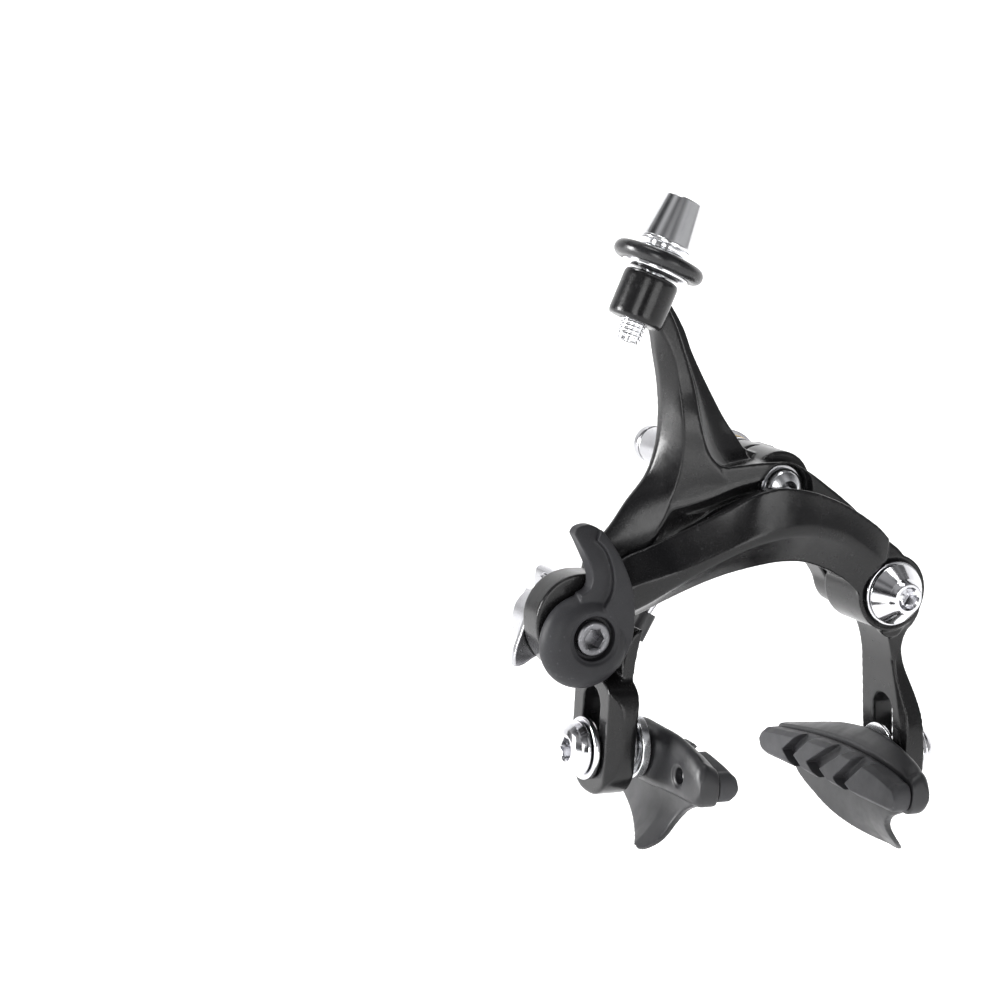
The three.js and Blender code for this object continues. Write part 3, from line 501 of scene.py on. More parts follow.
ADJ_AXIS = (0.347, 0.0, 0.938)
M = {
    "black_paint": material("black_paint", (0.004, 0.004, 0.0045), (0.007, 0.0068, 0.007), 0.24, 0.05, ior=1.38, coat=0.06, coat_rough=0.10,
                            grain=[(2600, 0.16, 0.00008), (700, 0.08, 0.00015)], edge=((0.05, 0.05, 0.052), 0.3), speck=(5200, (0.03, 0.029, 0.031), 0.6)),
    "lever_plastic": material("lever_plastic", (0.016, 0.016, 0.018), (0.022, 0.022, 0.0245), 0.5, 0.06, ior=1.33,
                              grain=[(4200, 0.16, 0.00005), (900, 0.08, 0.0001)], edge=((0.08, 0.08, 0.085), 0.4), speck=(6000, (0.05, 0.05, 0.053), 0.5)),
    "holder": material("holder", (0.010, 0.010, 0.0115), (0.016, 0.016, 0.018), 0.42, 0.07, ior=1.5,
                       grain=[(3000, 0.12, 0.00005), (500, 0.08, 0.00015)], edge=((0.07, 0.07, 0.072), 0.35)),
    "pad_rubber": material("pad_rubber", (0.026, 0.026, 0.029), (0.038, 0.038, 0.041), 0.6, 0.08, ior=1.45,
                           grain=[(3500, 0.15, 0.00005), (600, 0.08, 0.00015)], edge=((0.11, 0.11, 0.115), 0.4)),
    "o_ring": material("o_ring", (0.008, 0.008, 0.009), (0.013, 0.013, 0.014), 0.27, 0.05, ior=1.5, grain=[(2500, 0.05, 0.00004)]),
    "chrome": material("chrome", (0.66, 0.66, 0.68), (0.76, 0.76, 0.78), 0.13, 0.04, metal=1.0, grain=[(900, 0.02, 0.00005)]),
    "aluminium": material("aluminium", (0.74, 0.75, 0.77), (0.84, 0.845, 0.86), 0.24, 0.06, metal=1.0, grain=[(3500, 0.05, 0.00003)]),
    "turned_adj": material("turned_adj", (0.88, 0.885, 0.90), (0.92, 0.925, 0.935), 0.17, 0.03, metal=1.0, axis=ADJ_AXIS, turned=(9000.0, 0.15), aniso=0.4),
    "steel": material("steel", (0.50, 0.50, 0.52), (0.62, 0.62, 0.64), 0.26, 0.08, metal=1.0, grain=[(3000, 0.08, 0.00004)]),
    "brass": material("brass", (0.62, 0.44, 0.18), (0.72, 0.54, 0.25), 0.3, 0.08, metal=1.0, grain=[(2500, 0.08, 0.00004)]),
    "dull_chrome": material("dull_chrome", (0.34, 0.34, 0.355), (0.50, 0.50, 0.52), 0.22, 0.06, metal=1.0, grain=[(1800, 0.08, 0.00005)], speck=(2400, (0.2, 0.2, 0.2), 0.4)),
    "dark_steel": material("dark_steel", (0.10, 0.10, 0.105), (0.20, 0.20, 0.21), 0.32, 0.08, metal=1.0, grain=[(2600, 0.25, 0.00008)], speck=(2800, (0.5, 0.5, 0.52), 0.5)),
    "nylon": material("nylon", (0.03, 0.03, 0.032), (0.05, 0.05, 0.052), 0.42, 0.06, grain=[(2500, 0.08, 0.00004)]),
}
BODY = {n: b for b, ns in frame["record"]["behaviour"]["bodies"].items() for n in ns}
SLOT = {s["node"]: s["material_slot"] for s in frame["record"]["subparts"]}
DONE = set()


def finish_piece(o, node, mat=None, sharp=35.0, extra=()):
    """names the piece after the node it stands for, moves it to the row frame, gives it material (the slot's unless one
    is given) and body, and hides the CAD node
    """
    me = o.data
    n = len(me.vertices)
    co = np.zeros(n * 3, np.float32)
    me.vertices.foreach_get("co", co)
    me.vertices.foreach_set("co", row(co).astype(np.float32).ravel())
    o.name = node + "_fine"
    me.name = o.name
    me.materials.clear()
    me.materials.append(M[mat or SLOT[node]])
    me.polygons.foreach_set("use_smooth", np.ones(len(me.polygons), bool))
    if sharp:
        me.set_sharp_from_angle(angle=math.radians(sharp))
    me.update()
    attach(o, BODY[node])
    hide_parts(node, *extra)
    DONE.add(node)
    return o


# ------------------------------------------------------------------ Y-arm
ADJ_TOP = np.array([-24.1, -21.1, 54.9])
ADJ_D = np.array([-0.347, 0, -0.938]); ADJ_D /= np.linalg.norm(ADJ_D)
SHOE_Y, SHOE_ZL, SHOE_ZR = -23.0, -49.0, -54.0
PIV = (26.4, -19.4)
QR = (-41.2, -25.6)


def y_arm():
    T = np.array([
        [[-33.6, -16.6, 35.0], [-33.6, -21.2, 35.0], [-28.0, -21.2, 39.0], [-27.4, -19.3, 39.2], [-27.4, -16.8, 39.2]],
        [[-27.3, -16.5, 30.2], [-27.0, -21.2, 30.5], [-23.1, -21.4, 30.7], [-20.9, -19.6, 30.8], [-20.7, -16.8, 30.8]],
        [[-26.1, -16.5, 26.0], [-24.4, -21.6, 26.4], [-21.4, -21.8, 26.5], [-18.9, -19.8, 26.6], [-18.6, -16.8, 26.6]],
        [[-24.5, -16.4, 20.2], [-22.3, -22.0, 20.0], [-19.1, -22.3, 20.0], [-14.9, -20.1, 20.0], [-14.6, -16.6, 20.0]],
        [[-23.6, -16.4, 14.0], [-21.6, -23.1, 13.9], [-18.2, -23.8, 13.9], [-10.7, -20.2, 13.9], [-10.4, -16.4, 13.9]],
        [[-23.7, -16.4, 8.3], [-21.1, -23.25, 8.2], [-16.2, -24.2, 8.2], [-6.0, -19.9, 8.5], [-5.6, -16.4, 8.7]],
        [[-25.3, -16.4, 2.5], [-21.6, -23.15, 2.4], [-12.0, -24.9, 2.0], [-4.0, -24.0, 2.0], [-4.0, -16.4, 2.0]],
        [[-29.0, -16.4, -2.6], [-22.7, -22.9, -2.4], [-14.0, -23.0, -3.5], [-8.0, -23.0, -3.5], [-8.0, -16.4, -3.5]],
        [[-32.6, -16.4, -8.0], [-24.4, -22.6, -7.4], [-19.6, -21.4, -8.5], [-14.0, -21.6, -9.5], [-14.0, -16.4, -9.5]],
        [[-36.4, -16.4, -12.2], [-26.6, -21.6, -12.4], [-21.5, -20.5, -13.2], [-17.0, -20.5, -13.4], [-17.0, -16.4, -13.4]],
    ])
    # a narrow side wall behind the left facet
    wall = np.interp(T[:, 0, 2], [-12, 0, 14, 35], [1.3, 1.3, 1.9, 2.6])
    B = T[:, 0] + np.stack([np.full(10, -0.05), -wall, np.zeros(10)], 1)
    S = np.concatenate([T[:, :1], B[:, None], T[:, 1:]], 1)
    web = lambda m: np.stack([np.full(m, -0.55), np.full(m, 0.75), np.zeros(m)], 1)
    tower = loft(S, 0.7, [(1, None), (8, (-0.12, -0.06, 0)), (4, None), (8, web), (2, None), (2, None)])
    wedge = lambda: prism([[-60, -16.4], [-60, -22.55], [-24, -22.55], [-4, -26.5], [60, -26.6], [60, -16.4]], "Z", -80, 60, step=None)
    face = [[-24.8, -8.8], [-22.6, -3.75], [-18.8, -2.3], [-15.0, -1.0], [-10.2, 1.1], [-5.35, 2.6], [0, 2.0], [14, -4], [19.2, -6.4],
            [18.3, -3.9], [14.3, -0.75], [10.6, 1.65], [6.1, 4.4], [2.0, 6.2], [-3.7, 6.35], [-9.6, 5.6], [-12.6, 5.3], [-14.7, 6.55], [-16.2, 8.4], [-18.3, 13.9], [-21.6, 13.9], [-21.1, 8.2], [-21.6, 2.4], [-22.7, -2.4], [-24.3, -7.3]]
    plate = cut(prism(face, "Y", -30, -17, 0.6, 48), wedge())
    faceY = lambda x: np.interp(x, [-24, -4], [-22.7, -26.6])
    Fp = [[-23.6, -6.0], [-22.6, -3.75], [-18.8, -2.3], [-15.0, -1.0], [-10.2, 1.1], [-5.35, 2.6]]
    ch = []
    for i, (x, z) in enumerate(Fp):
        y = faceY(x); d = 1.0 if i == 0 else 2.0
        ch.append([[x, y, z], [x + 0.45, y + 0.35 * d, z - 1.7], [x + 0.9, y + d, z - 2.8], [x + 2.2, -16.4, z - 6.0], [x - 1, -16.4, z + 1.5], [x - 0.2, y + 0.2, z + 1.2]])
    chin = loft(ch, 0.7)
    low = cut(prism([[-24, -8], [-30, -12], [-34.5, -13.0], [-36.6, -13.2], [-37.2, -14.5], [-37.0, -22], [-36.5, -30], [-31, -34], [-28.6, -25], [-24, -18.5], [-16, -14.5], [-8, -11], [0, -10.2], [7, -10.4], [11, -10.8],
                     [17, -11.2], [20.6, -9.2], [20.2, -5.2], [14, -1.6], [8, 3.2], [2, 5.6], [-4, 6.2], [-10, 5.0], [-17, 1.5], [-20, -3]], "Y", -26, -16.4, 0.7, 50),
              prism([[-60, -16.4], [-60, -20.5], [-26, -20.5], [-12, -22.6], [-6, -24.3], [30, -24.3], [30, -16.4]], "Z", -80, 60, step=None))
    topback = prism([[-9, 5], [-7.2, 9.2], [-4.5, 7.7], [-1.1, 6.9], [2.2, 6.4], [8, 4.4], [8, 0], [-9, 0]], "Y", -20.0, -16.4, 0.6, 50)
    hub = cylY(AX, AZ, 7.1, -23.6, -15.6)
    leg = cut(
        prism([[-34.0, -13.0], [-36.6, -13.2], [-37.2, -14.5], [-37.0, -22], [-36.5, -30], [-36.1, -37], [-36.0, -58], [-30.0, -58], [-30.0, -38], [-29.6, -32], [-28.8, -25], [-28, -14]], "Y", -33, -15, 0.7, 50),
        prism([[-15.6, -36], [-15.6, -50], [-16.2, -53], [-17.9, -55.6], [-20.4, -57.2], [-23.4, -57.6], [-26.6, -57.2], [-29.2, -55.6], [-30.9, -53], [-31.5, -50], [-31.5, -41], [-31.0, -38.4], [-29.4, -36.2], [-26.6, -34.8], [-22.4, -34.0], [-20.5, -33.0], [-20.5, -8], [-16.4, -8], [-16.4, -30]], "X", -60, 0, 0.6, 50))
    legtop = prism([[-32.2, -38], [-32.0, -30.5], [-31.2, -27.4], [-30.2, -26.0], [-29.2, -25.6], [-28.6, -25.2], [-29.6, -32], [-29.9, -38]], "Y", -27.4, -16.6, 0.6, 50)
    o = ADJ_TOP + ADJ_D * 15.4
    stop = lathe([(0, 0), (5.3, 0), (5.3, 9.2), (0, 9.2)], o, ADJ_D, 96, fillet=1.0)
    e = np.array([0.938, 0, -0.347]); e /= np.linalg.norm(e)
    P = poly([[-3.9, 0], [5.0, 0], [5.0, 3.6], [4.2, 4.5], [-3.2, 4.5], [-3.9, 3.8]], 0.5, 20)
    V, n = [], len(P)
    for s in (0.15, 9.05):
        for p in P:
            V.append(o + ADJ_D * s + e * p[0] + np.array([0, 1, 0]) * p[1])
    tr = tessellate_polygon([[Vector((p[0], p[1], 0)) for p in P]])
    block = mk("b", V, [(i, (i + 1) % n, n + (i + 1) % n, n + i) for i in range(n)] + [tuple(t) for t in tr] + [tuple(n + i for i in reversed(t)) for t in tr])
    a = add(tower, plate, chin, low, topback, hub, leg, legtop, stop, block)
    sub(a, prism([[-38, -33], [-31.4, -33], [-38, -28.6]], "Z", -60, -34, step=None), prism([[-33.2, -33], [-28, -33], [-28, -29.6]], "Z", -60, -34, step=None),
        cylY(AX, AZ, 4.28, -40, 0), cylY(AX, AZ, 4.9, -40, -24.0),
        lathe([(0, -40), (6.2, -40), (6.2, -27.0), (4.7, -25.2), (0, -25.2)], (AX, 0, AZ), (0, 1, 0), 96, fillet=0),
        cyl(o, ADJ_D, 2.6, -2, 20), cyl((16.6, -21, 0), (0, 0, 1), 2.1, -16, 4),
        slotX(SHOE_Y, -52.5, -37.0, 6.8, -45, -20), voxel=0.24)
    soften(a, 0.25, 6)
    return finish_piece(a, "y_arm", sharp=0)


def c_arm():
    S = [
        [-35.0, -14.5, -24.3, -17.8, -27.9, -23.0, -27.5, -25.0, -24.8],
        [-32.5, -12.1, -24.64, -16.86, -28.21, -22.16, -27.7, -24.2, -25.0], [-28, -10.11, -24.87, -15.53, -28.38, -20.1, -27.9, -22.71, -25.01],
        [-24, -8.13, -25.56, -14.25, -28.83, -17.65, -28.3, -20.77, -25.3], [-20, -5.97, -26.62, -12.42, -29.94, -15.05, -29.37, -18.8, -25.91],
        [-16, -3.56, -28.17, -10.27, -31.26, -12.5, -30.64, -16.86, -26.81], [-12, -1.01, -29.84, -8.27, -32.32, -10.31, -31.82, -15.14, -27.9],
        [-8, 1.39, -31.35, -6.54, -32.92, -8.51, -32.52, -13.92, -28.74], [-4, 2.4, -32.09, -5.34, -33.13, -7.29, -32.82, -13.05, -29.12],
        [0, 2.25, -32.39, -4.54, -33.2, -6.79, -32.89, -12.6, -29.2], [4, 1.57, -32.35, -4.6, -32.88, -6.81, -32.62, -12.76, -29.04],
        [8, 0.38, -31.9, -5.38, -32.43, -7.57, -32.19, -13.79, -28.66], [12, -1.07, -31.37, -6.5, -31.93, -8.71, -31.69, -15.31, -28.35],
        [16, -3.01, -30.85, -8.53, -31.42, -10.65, -31.2, -17.55, -28.2], [20, -5.23, -30.31, -11.34, -30.8, -14.27, -30.4, -21.28, -28.1],
        [24, -8.3, -29.5, -14.5, -29.6, -17.5, -29.4, -26.0, -27.9],
    ]
    bx = [-34, -30, -20, -10, -8, 18, 21, 24]; by = [-23.0, -23.1, -25.2, -27.2, -27.5, -27.5, -27.3, -16.5]
    secs = []
    for x, tz, ty, az, ay, bz, byy, uz, uy in S:
        yb = float(np.interp(x, bx, by))
        secs.append([[x, yb, tz - 0.6], [x, min(ty, yb - 0.4), tz], [x, ay, az], [x, byy, bz], [x, min(uy, yb - 0.4), uz], [x, yb, uz + 0.6]])
    beam = loft(secs, 0.7, [(1, None), (8, (0, 0.10, 0)), (4, (0, -0.12, -0.05)), (6, (0, 0.10, 0.1)), (1, None), (1, None)])
    qb = prism([[-34, -13.6], [-37.0, -14.6], [-40.7, -14.3], [-43.9, -14.5], [-46.9, -15.6], [-49.3, -17.8], [-50.8, -20.8], [-51.0, -23.5], [-50.3, -26.8], [-48.9, -29.6], [-46.4, -32.2], [-43, -33.4], [-40, -33.4], [-36.8, -31.8], [-34.8, -29.4], [-33.4, -26.5], [-32, -24.2]], "Y", -27.6, -21.3, 0.6, 60)
    qn = prism([[-34, -13.6], [-31.5, -12.4], [-31.5, -23.6], [-34.5, -28], [-38, -28], [-38, -17]], "Y", -25.0, -23.1, 0.6, 60)
    leg = cut(
        prism([[22.4, -7.4], [24.6, -8.9], [27.2, -10.7], [29.8, -13.6], [32.1, -16.9], [33.4, -20.0], [33.5, -23], [32.6, -26], [31.7, -29], [31.5, -31.6], [32.2, -34.5], [33.4, -37.5], [34.7, -41], [35.7, -45], [36.6, -52], [37.1, -57], [37.2, -63],
               [32.2, -63], [31.9, -54], [30.9, -45], [30.0, -38], [29.2, -33], [27.6, -28.6], [25.6, -25.6], [23.4, -23.2], [20.8, -20.8]], "Y", -34, -14, 0.7, 50),
        prism([[-15.6, -6], [-15.6, -54], [-16.2, -57.4], [-17.9, -60], [-20.4, -61.6], [-23.3, -62.1], [-26.4, -61.5], [-28.9, -59.8], [-30.4, -57.4], [-31.0, -54], [-31.0, -50], [-30.4, -45], [-28.8, -40.5], [-27.3, -36], [-26.9, -31], [-27.4, -27.6], [-28.6, -25.5], [-28.6, -6]], "X", 10, 45, 0.6, 50))
    boss = cylY(PIV[0], PIV[1], 7.8, -28.9, -15.6)
    ledge = prism([[12.8, -13.4], [22, -13.2], [22, -21.6], [18.8, -17.9], [15.4, -15.7], [12.8, -15.0]], "Y", -28.0, -16.6, 0.6, 50)
    tab = prism([[24.4, -25.8], [30.6, -25.2], [29.6, -28.2], [27.2, -28.8], [25.2, -27.8]], "Y", -28.2, -26.6, 0.5, 60)
    a = add(beam, qb, qn, leg, boss, ledge, tab)
    sub(a, prism([[26, -33], [32.6, -33], [31.6, -30], [29.4, -26.2], [26, -26.2]], "Z", -70, -33.5, step=None),
        cylY(PIV[0], PIV[1], 4.38, -40, 0), cylY(PIV[0], PIV[1], 7.1, -40, -28.6),
        cylY(QR[0], QR[1], 2.85, -40, 0),
        slotX(SHOE_Y, -57.5, -41.6, 6.8, 20, 45), voxel=0.24)
    soften(a, 0.25, 5)
    return finish_piece(a, "c_arm", sharp=0)


def rear_bridge():
    web = prism([[-3, 6.6], [4.5, 7.8], [10, 2.6], [17, -5.5], [23, -11.2], [30, -14.4], [30, -24.2], [22.6, -24.2], [19.0, -18.2], [13.0, -12.4], [6.5, -9.4], [-2, -6.2]], "Y", -14.4, -8, 0.7, 50)
    a = add(web, cylY(AX, AZ, 6.9, -14.4, -8), cylY(PIV[0], PIV[1], 6.2, -14.4, -8.6))
    sub(a, cylY(AX, AZ, 3.3, -20, 0), cylY(PIV[0], PIV[1], 2.75, -20, 0), cylY(8.9, -7.4, 1.3, -20, 0), voxel=0.3)
    soften(a, 0.3, 6)
    return finish_piece(a, "rear_bridge", sharp=0)


y_arm(); c_arm(); rear_bridge()

# ------------------------------------------------------------------ turned pieces
UY = (0, 1, 0)
A0 = (AX, 0, AZ)
P0 = (PIV[0], 0, PIV[1])
Q0 = (QR[0], 0, QR[1])


def T(node, prof, o=A0, d=UY, seg=96, fillet=0.15, mat=None, **kw):
    return finish_piece(lathe(prof, o, d, seg, fillet=fillet, **kw), node, mat)


T("centre_bolt", [(0, -25.3), (1.5, -25.4, "h"), (1.5, -27.15, "h"), (1.85, -27.28, "c"), (2.4, -26.98), (3.4, -26.3), (3.9, -25.5), (4.0, -24.9), (4.0, -24.5), (3, -24.5), (3, 17.5), (2.5, 18), (0, 18)], fillet=0.3, mat="aluminium")
T("front_thrust_washer", [(3.3, -24.3), (4.5, -24.3), (4.5, -24.1), (3.3, -24.1)], fillet=0.05)
T("centre_bush", [(3.08, -23.8), (4.2, -23.8), (4.2, -15.7), (3.08, -15.7)])
T("rear_thrust_washer", [(3.3, -15.3), (6.4, -15.3), (6.4, -14.7), (3.3, -14.7)])


def teeth(rr, ss, th):
    k = (th * 20 / (2 * np.pi)) % 1.0
    dip = np.clip(1.2 - np.abs(k - 0.5) * 5, 0, 1) * 0.45
    return rr, np.where((ss > -5.0) & (rr > 3.6), ss - dip, ss)


T("serrated_washer", [(3.3, -7.1), (7.0, -7.1), (7.0, -4.9), (4.2, -4.9), (3.3, -4.9)], seg=240, fillet=0.12, mod=teeth)
T("concave_washer", [(3.3, -4.6), (5.2, -4.6), (7.2, -4.0), (7.2, -2.9), (6.0, -2.6), (3.3, -2.6)], fillet=0.3)
T("fork_washer", [(3.3, -2.3), (8.0, -2.3), (8.0, 0), (3.3, 0)], fillet=0.2)
T("sleeve_nut", [(0, 26.2), (2.5, 26.0, "h"), (2.5, 29.85, "h"), (3.0, 30.0, "c"), (3.6, 30.0), (4.0, 29.6), (4.0, 27.9), (3.6, 27.7), (3.6, 27.2), (4.0, 27.0), (4.0, 9.9), (3.6, 9.5), (3.3, 9.5), (3.3, 18.4), (0, 18.6)], fillet=0.2, mat="dull_chrome")
T("side_pivot_bolt", [(0, -31.6), (2.0, -31.3, "h"), (2.0, -34.25, "h"), (2.4, -34.6, "c"), (3.0, -34.6), (3.35, -34.1), (3.75, -33.3), (6.1, -30.35), (6.15, -29.9), (3, -29.9), (3, -14.9), (2.45, -14.6), (2.45, -6.9), (2.1, -6.6), (0, -6.6)], P0, fillet=0.18)
T("side_pivot_washer", [(3.3, -29.6), (6.5, -29.6), (6.5, -28.9), (3.3, -28.9)], P0, fillet=0.25)
T("side_pivot_bush", [(3.08, -28.4), (4.3, -28.4), (4.3, -15.8), (3.08, -15.8)], P0)
T("side_thrust_washer", [(3.3, -15.3), (5.8, -15.3), (5.8, -14.7), (3.3, -14.7)], P0)
finish_piece(tube([[8.9, -12.5, -7.4], [8.9, -9.5, -7.4], [8.9, -7.2, -7.4], [8.2, -5.7, -8.8], [4.8, -5.5, -11.2], [-1, -6.6, -12.8], [-9, -10.2, -14.4], [-15.5, -13.0, -19.2], [-20.4, -13.3, -25.5], [-22.6, -13.3, -30.0]], 0.85), "return_spring")
T("spring_sleeve", [(1.2, 0), (2.0, 0), (2.0, 5.6), (1.2, 5.6)], (-20.45, -13.3, -25.4), (-0.438, 0, -0.899))
T("centring_screw", [(0, 0), (1.6, 0), (2.0, 0.5), (2.0, 9.0), (1.6, 9.2), (1.25, 9.1, "c"), (1.0, 9.0, "h"), (1.0, 7.7, "h"), (0, 7.5)], (16.6, -21, -12.9), (0, 0, 1))
T("housing_ferrule", [(2.6, 0), (3.6, 0), (3.85, 0.25), (5.05, 8.6), (5.15, 8.75), (5.15, 9.2), (4.9, 9.5), (3.4, 9.5), (3.4, 10.0), (1.2, 10.0), (1.2, 6.0), (2.6, 6.0)], ADJ_TOP, ADJ_D, 128, 0.12, mat="turned_adj")


def barrel():
    # thread as a helical height field
    prof = [(1.2, 10.3), (4.6, 10.3), (5.2, 10.45), (6.7, 11.2), (6.75, 11.5), (5.7, 11.9), (5.7, 13.3), (6.5, 13.65), (6.5, 14.5), (5.0, 15.05), (2.5, 15.05)]
    p = rounded(prof, 0.14, False)
    ss = np.arange(15.3, 28.15, 0.05)
    p += [(2.5, float(s), "t") for s in ss]
    p += [(2.1, 28.45, "c"), (1.2, 28.45, "c")]

    def mod(rr, s, th):
        ph = ((s - th / (2 * np.pi) * 0.8) / 0.8) % 1.0
        cutd = 0.42 * np.clip(1.0 - np.abs(ph - 0.5) * 2.5, 0, 1)
        use = (s > 15.29) & (s < 28.2) & (rr > 2.4) & (rr < 2.6)
        fade = np.clip((28.2 - s) / 0.5, 0, 1)
        return np.where(use, rr - cutd - (1 - fade) * 0.3, rr), s
    return finish_piece(lathe(p, ADJ_TOP, ADJ_D, 96, closed=True, fillet=0, mod=mod), "adjuster_barrel", "turned_adj")


barrel()
T("adjuster_o_ring", [(7.38 + 1.44 * math.cos(a), 12.6 + 1.5 * math.sin(a), "c") for a in np.linspace(0, 2 * math.pi, 33)[:-1]], ADJ_TOP, ADJ_D, 128, 0, closed=True)


# ------------------------------------------------------------------ quick release and cable anchor
def lever():
    qx, qz = QR
    disc = lathe([(0, -32.5), (5.6, -32.45), (6.6, -32.15), (7.7, -31.4), (8.6, -30.3), (9.0, -29.2), (8.9, -28.2), (0, -28.2)], (-41.9, 0, -26.6), UY, 128, fillet=0.5)
    right = [[-41.15, -5.25], [-39.49, -7.17], [-37.46, -10.16], [-35.64, -13.62], [-34.33, -16.86], [-33.44, -21.03], [-33.1, -24.74], [-33.27, -28.45], [-34.47, -32.11]]
    groove = [[-39.87, -19.83], [-38.59, -17.21], [-38.48, -14.47], [-39.08, -11.72], [-40.33, -8.97], [-42.0, -7.4]]
    left = [[-43.19, -4.7], [-45.36, -5.3], [-46.0, -6.4], [-45.03, -7.99], [-43.86, -10.04], [-42.6, -12.56], [-42.15, -14.84], [-42.65, -16.55], [-44.3, -17.5], [-44.0, -20.5], [-40.5, -21.0]]
    side = lambda f: prism([[-29.4, -40], [-28.2, -40], [-28.2, -15.6], [-27.6, -12.2], [-27.4, -3], [f + 2.3, -3], [f + 0.8, -8], [f, -13], [f + 0.1, -18], [f + 0.8, -24], [f + 2.2, -29], [-29.4, -33.5]], "X", -52, -28, 0.5, 50)
    rim = cut(prism(right + [[-36.0, -31.2], [-36.6, -26.5], [-37.6, -22.6]] + groove, "Y", -34, -24.6, 0.5, 60), side(-32.9))
    plane = cut(prism([[-41.15, -5.25]] + left + groove, "Y", -34, -24.6, 0.5, 60), side(-31.4))
    lev = add(disc, rim, plane)
    sub(lev, cylY(qx, qz, 4.2, -40, -30.4), cylY(qx, qz, 2.9, -40, -20),
        lathe([(0, -40), (5.6, -40), (5.3, -32.6), (4.6, -32.0), (0, -32.0)], Q0, UY, 96, fillet=0), voxel=0.16)
    soften(lev, 0.16, 9)
    return finish_piece(lev, "qr_lever", sharp=0)


lever()
T("qr_cam_bolt", [(0, -29.7), (1.75, -29.6, "h"), (1.75, -31.8, "h"), (2.2, -32.05, "c"), (2.9, -32.1), (3.4, -31.7), (3.5, -30.7), (2.77, -30.7), (2.77, -6.8), (2.3, -6.3), (0, -6.3)], Q0, fillet=0.25, mat="dark_steel")
T("qr_washer", [(2.9, -27.95), (7.5, -27.95), (7.5, -27.65), (2.9, -27.65)], Q0, fillet=0.08)


def anchor():
    qx, qz = QR
    pl = prism([[-36.9, -22.5], [-38.6, -19.9], [-43.0, -18.8], [-46.6, -20.2], [-49.6, -23.4], [-51.0, -27.0], [-52.0, -30.4], [-51.9, -33.0], [-50.2, -32.9], [-46.8, -31.2], [-44.6, -31.6], [-41.5, -31.8], [-38.6, -30.6], [-37.0, -28.2]], "Y", -20.95, -19.5, 0.5, 50)
    cut(pl, prism([[-60, -38.4], [-60, -10], [-38.45, -10], [-38.45, -38.4]], "Y", -25, -15, step=None))
    sub(pl, cylY(qx, qz, 2.9, -40, -10))
    soften(pl, 0.16, 3)
    for v in pl.data.vertices:
        d = max(0.0, -47.6 - v.co.x)
        v.co.y -= 0.03 * d * d
    finish_piece(pl, "anchor_plate", "dull_chrome", sharp=0)
    bar = prism([[-41.3, -16.6], [-41.9, -16.2], [-43.0, -16.2], [-43.5, -16.6], [-43.6, -20.6], [-45.7, -21.4], [-47.4, -23.6], [-47.8, -27.2], [-46.6, -30.0], [-44, -31.0], [-41, -31.0], [-38.3, -29.9], [-37.4, -27.4], [-37.6, -23.4], [-39.2, -21.6], [-41.3, -21.2]], "Y", -19.1, -10.2, 0.5, 60)
    sub(bar, cylY(qx, qz, 2.9, -40, 0), cylX(-14.6, -18.6, 1.6, -55, -30), cyl((-45.7, -16.9, -33), (0, 0, 1), 0.75, 0, 20))
    soften(bar, 0.16, 4)
    finish_piece(bar, "anchor_barrel", "dull_chrome", sharp=0)
    T("pinch_screw", [(0, 1.3), (1.0, 1.4, "h"), (1.0, 0.1, "h"), (1.25, 0, "c"), (1.9, 0), (2.2, 0.3), (2.2, 2.2), (1.5, 2.25), (1.5, 5.4), (1.2, 5.8), (0, 5.8)], (-38.8, -14.6, -18.6), (-1, 0, 0), mat="dull_chrome")
    T("anchor_nut", [(2.95, -9.9), (4.16, -9.9, "h"), (4.16, -6.75, "h"), (3.9, -6.7, "h"), (2.95, -6.7)], Q0, closed=True, fillet=0)


anchor()


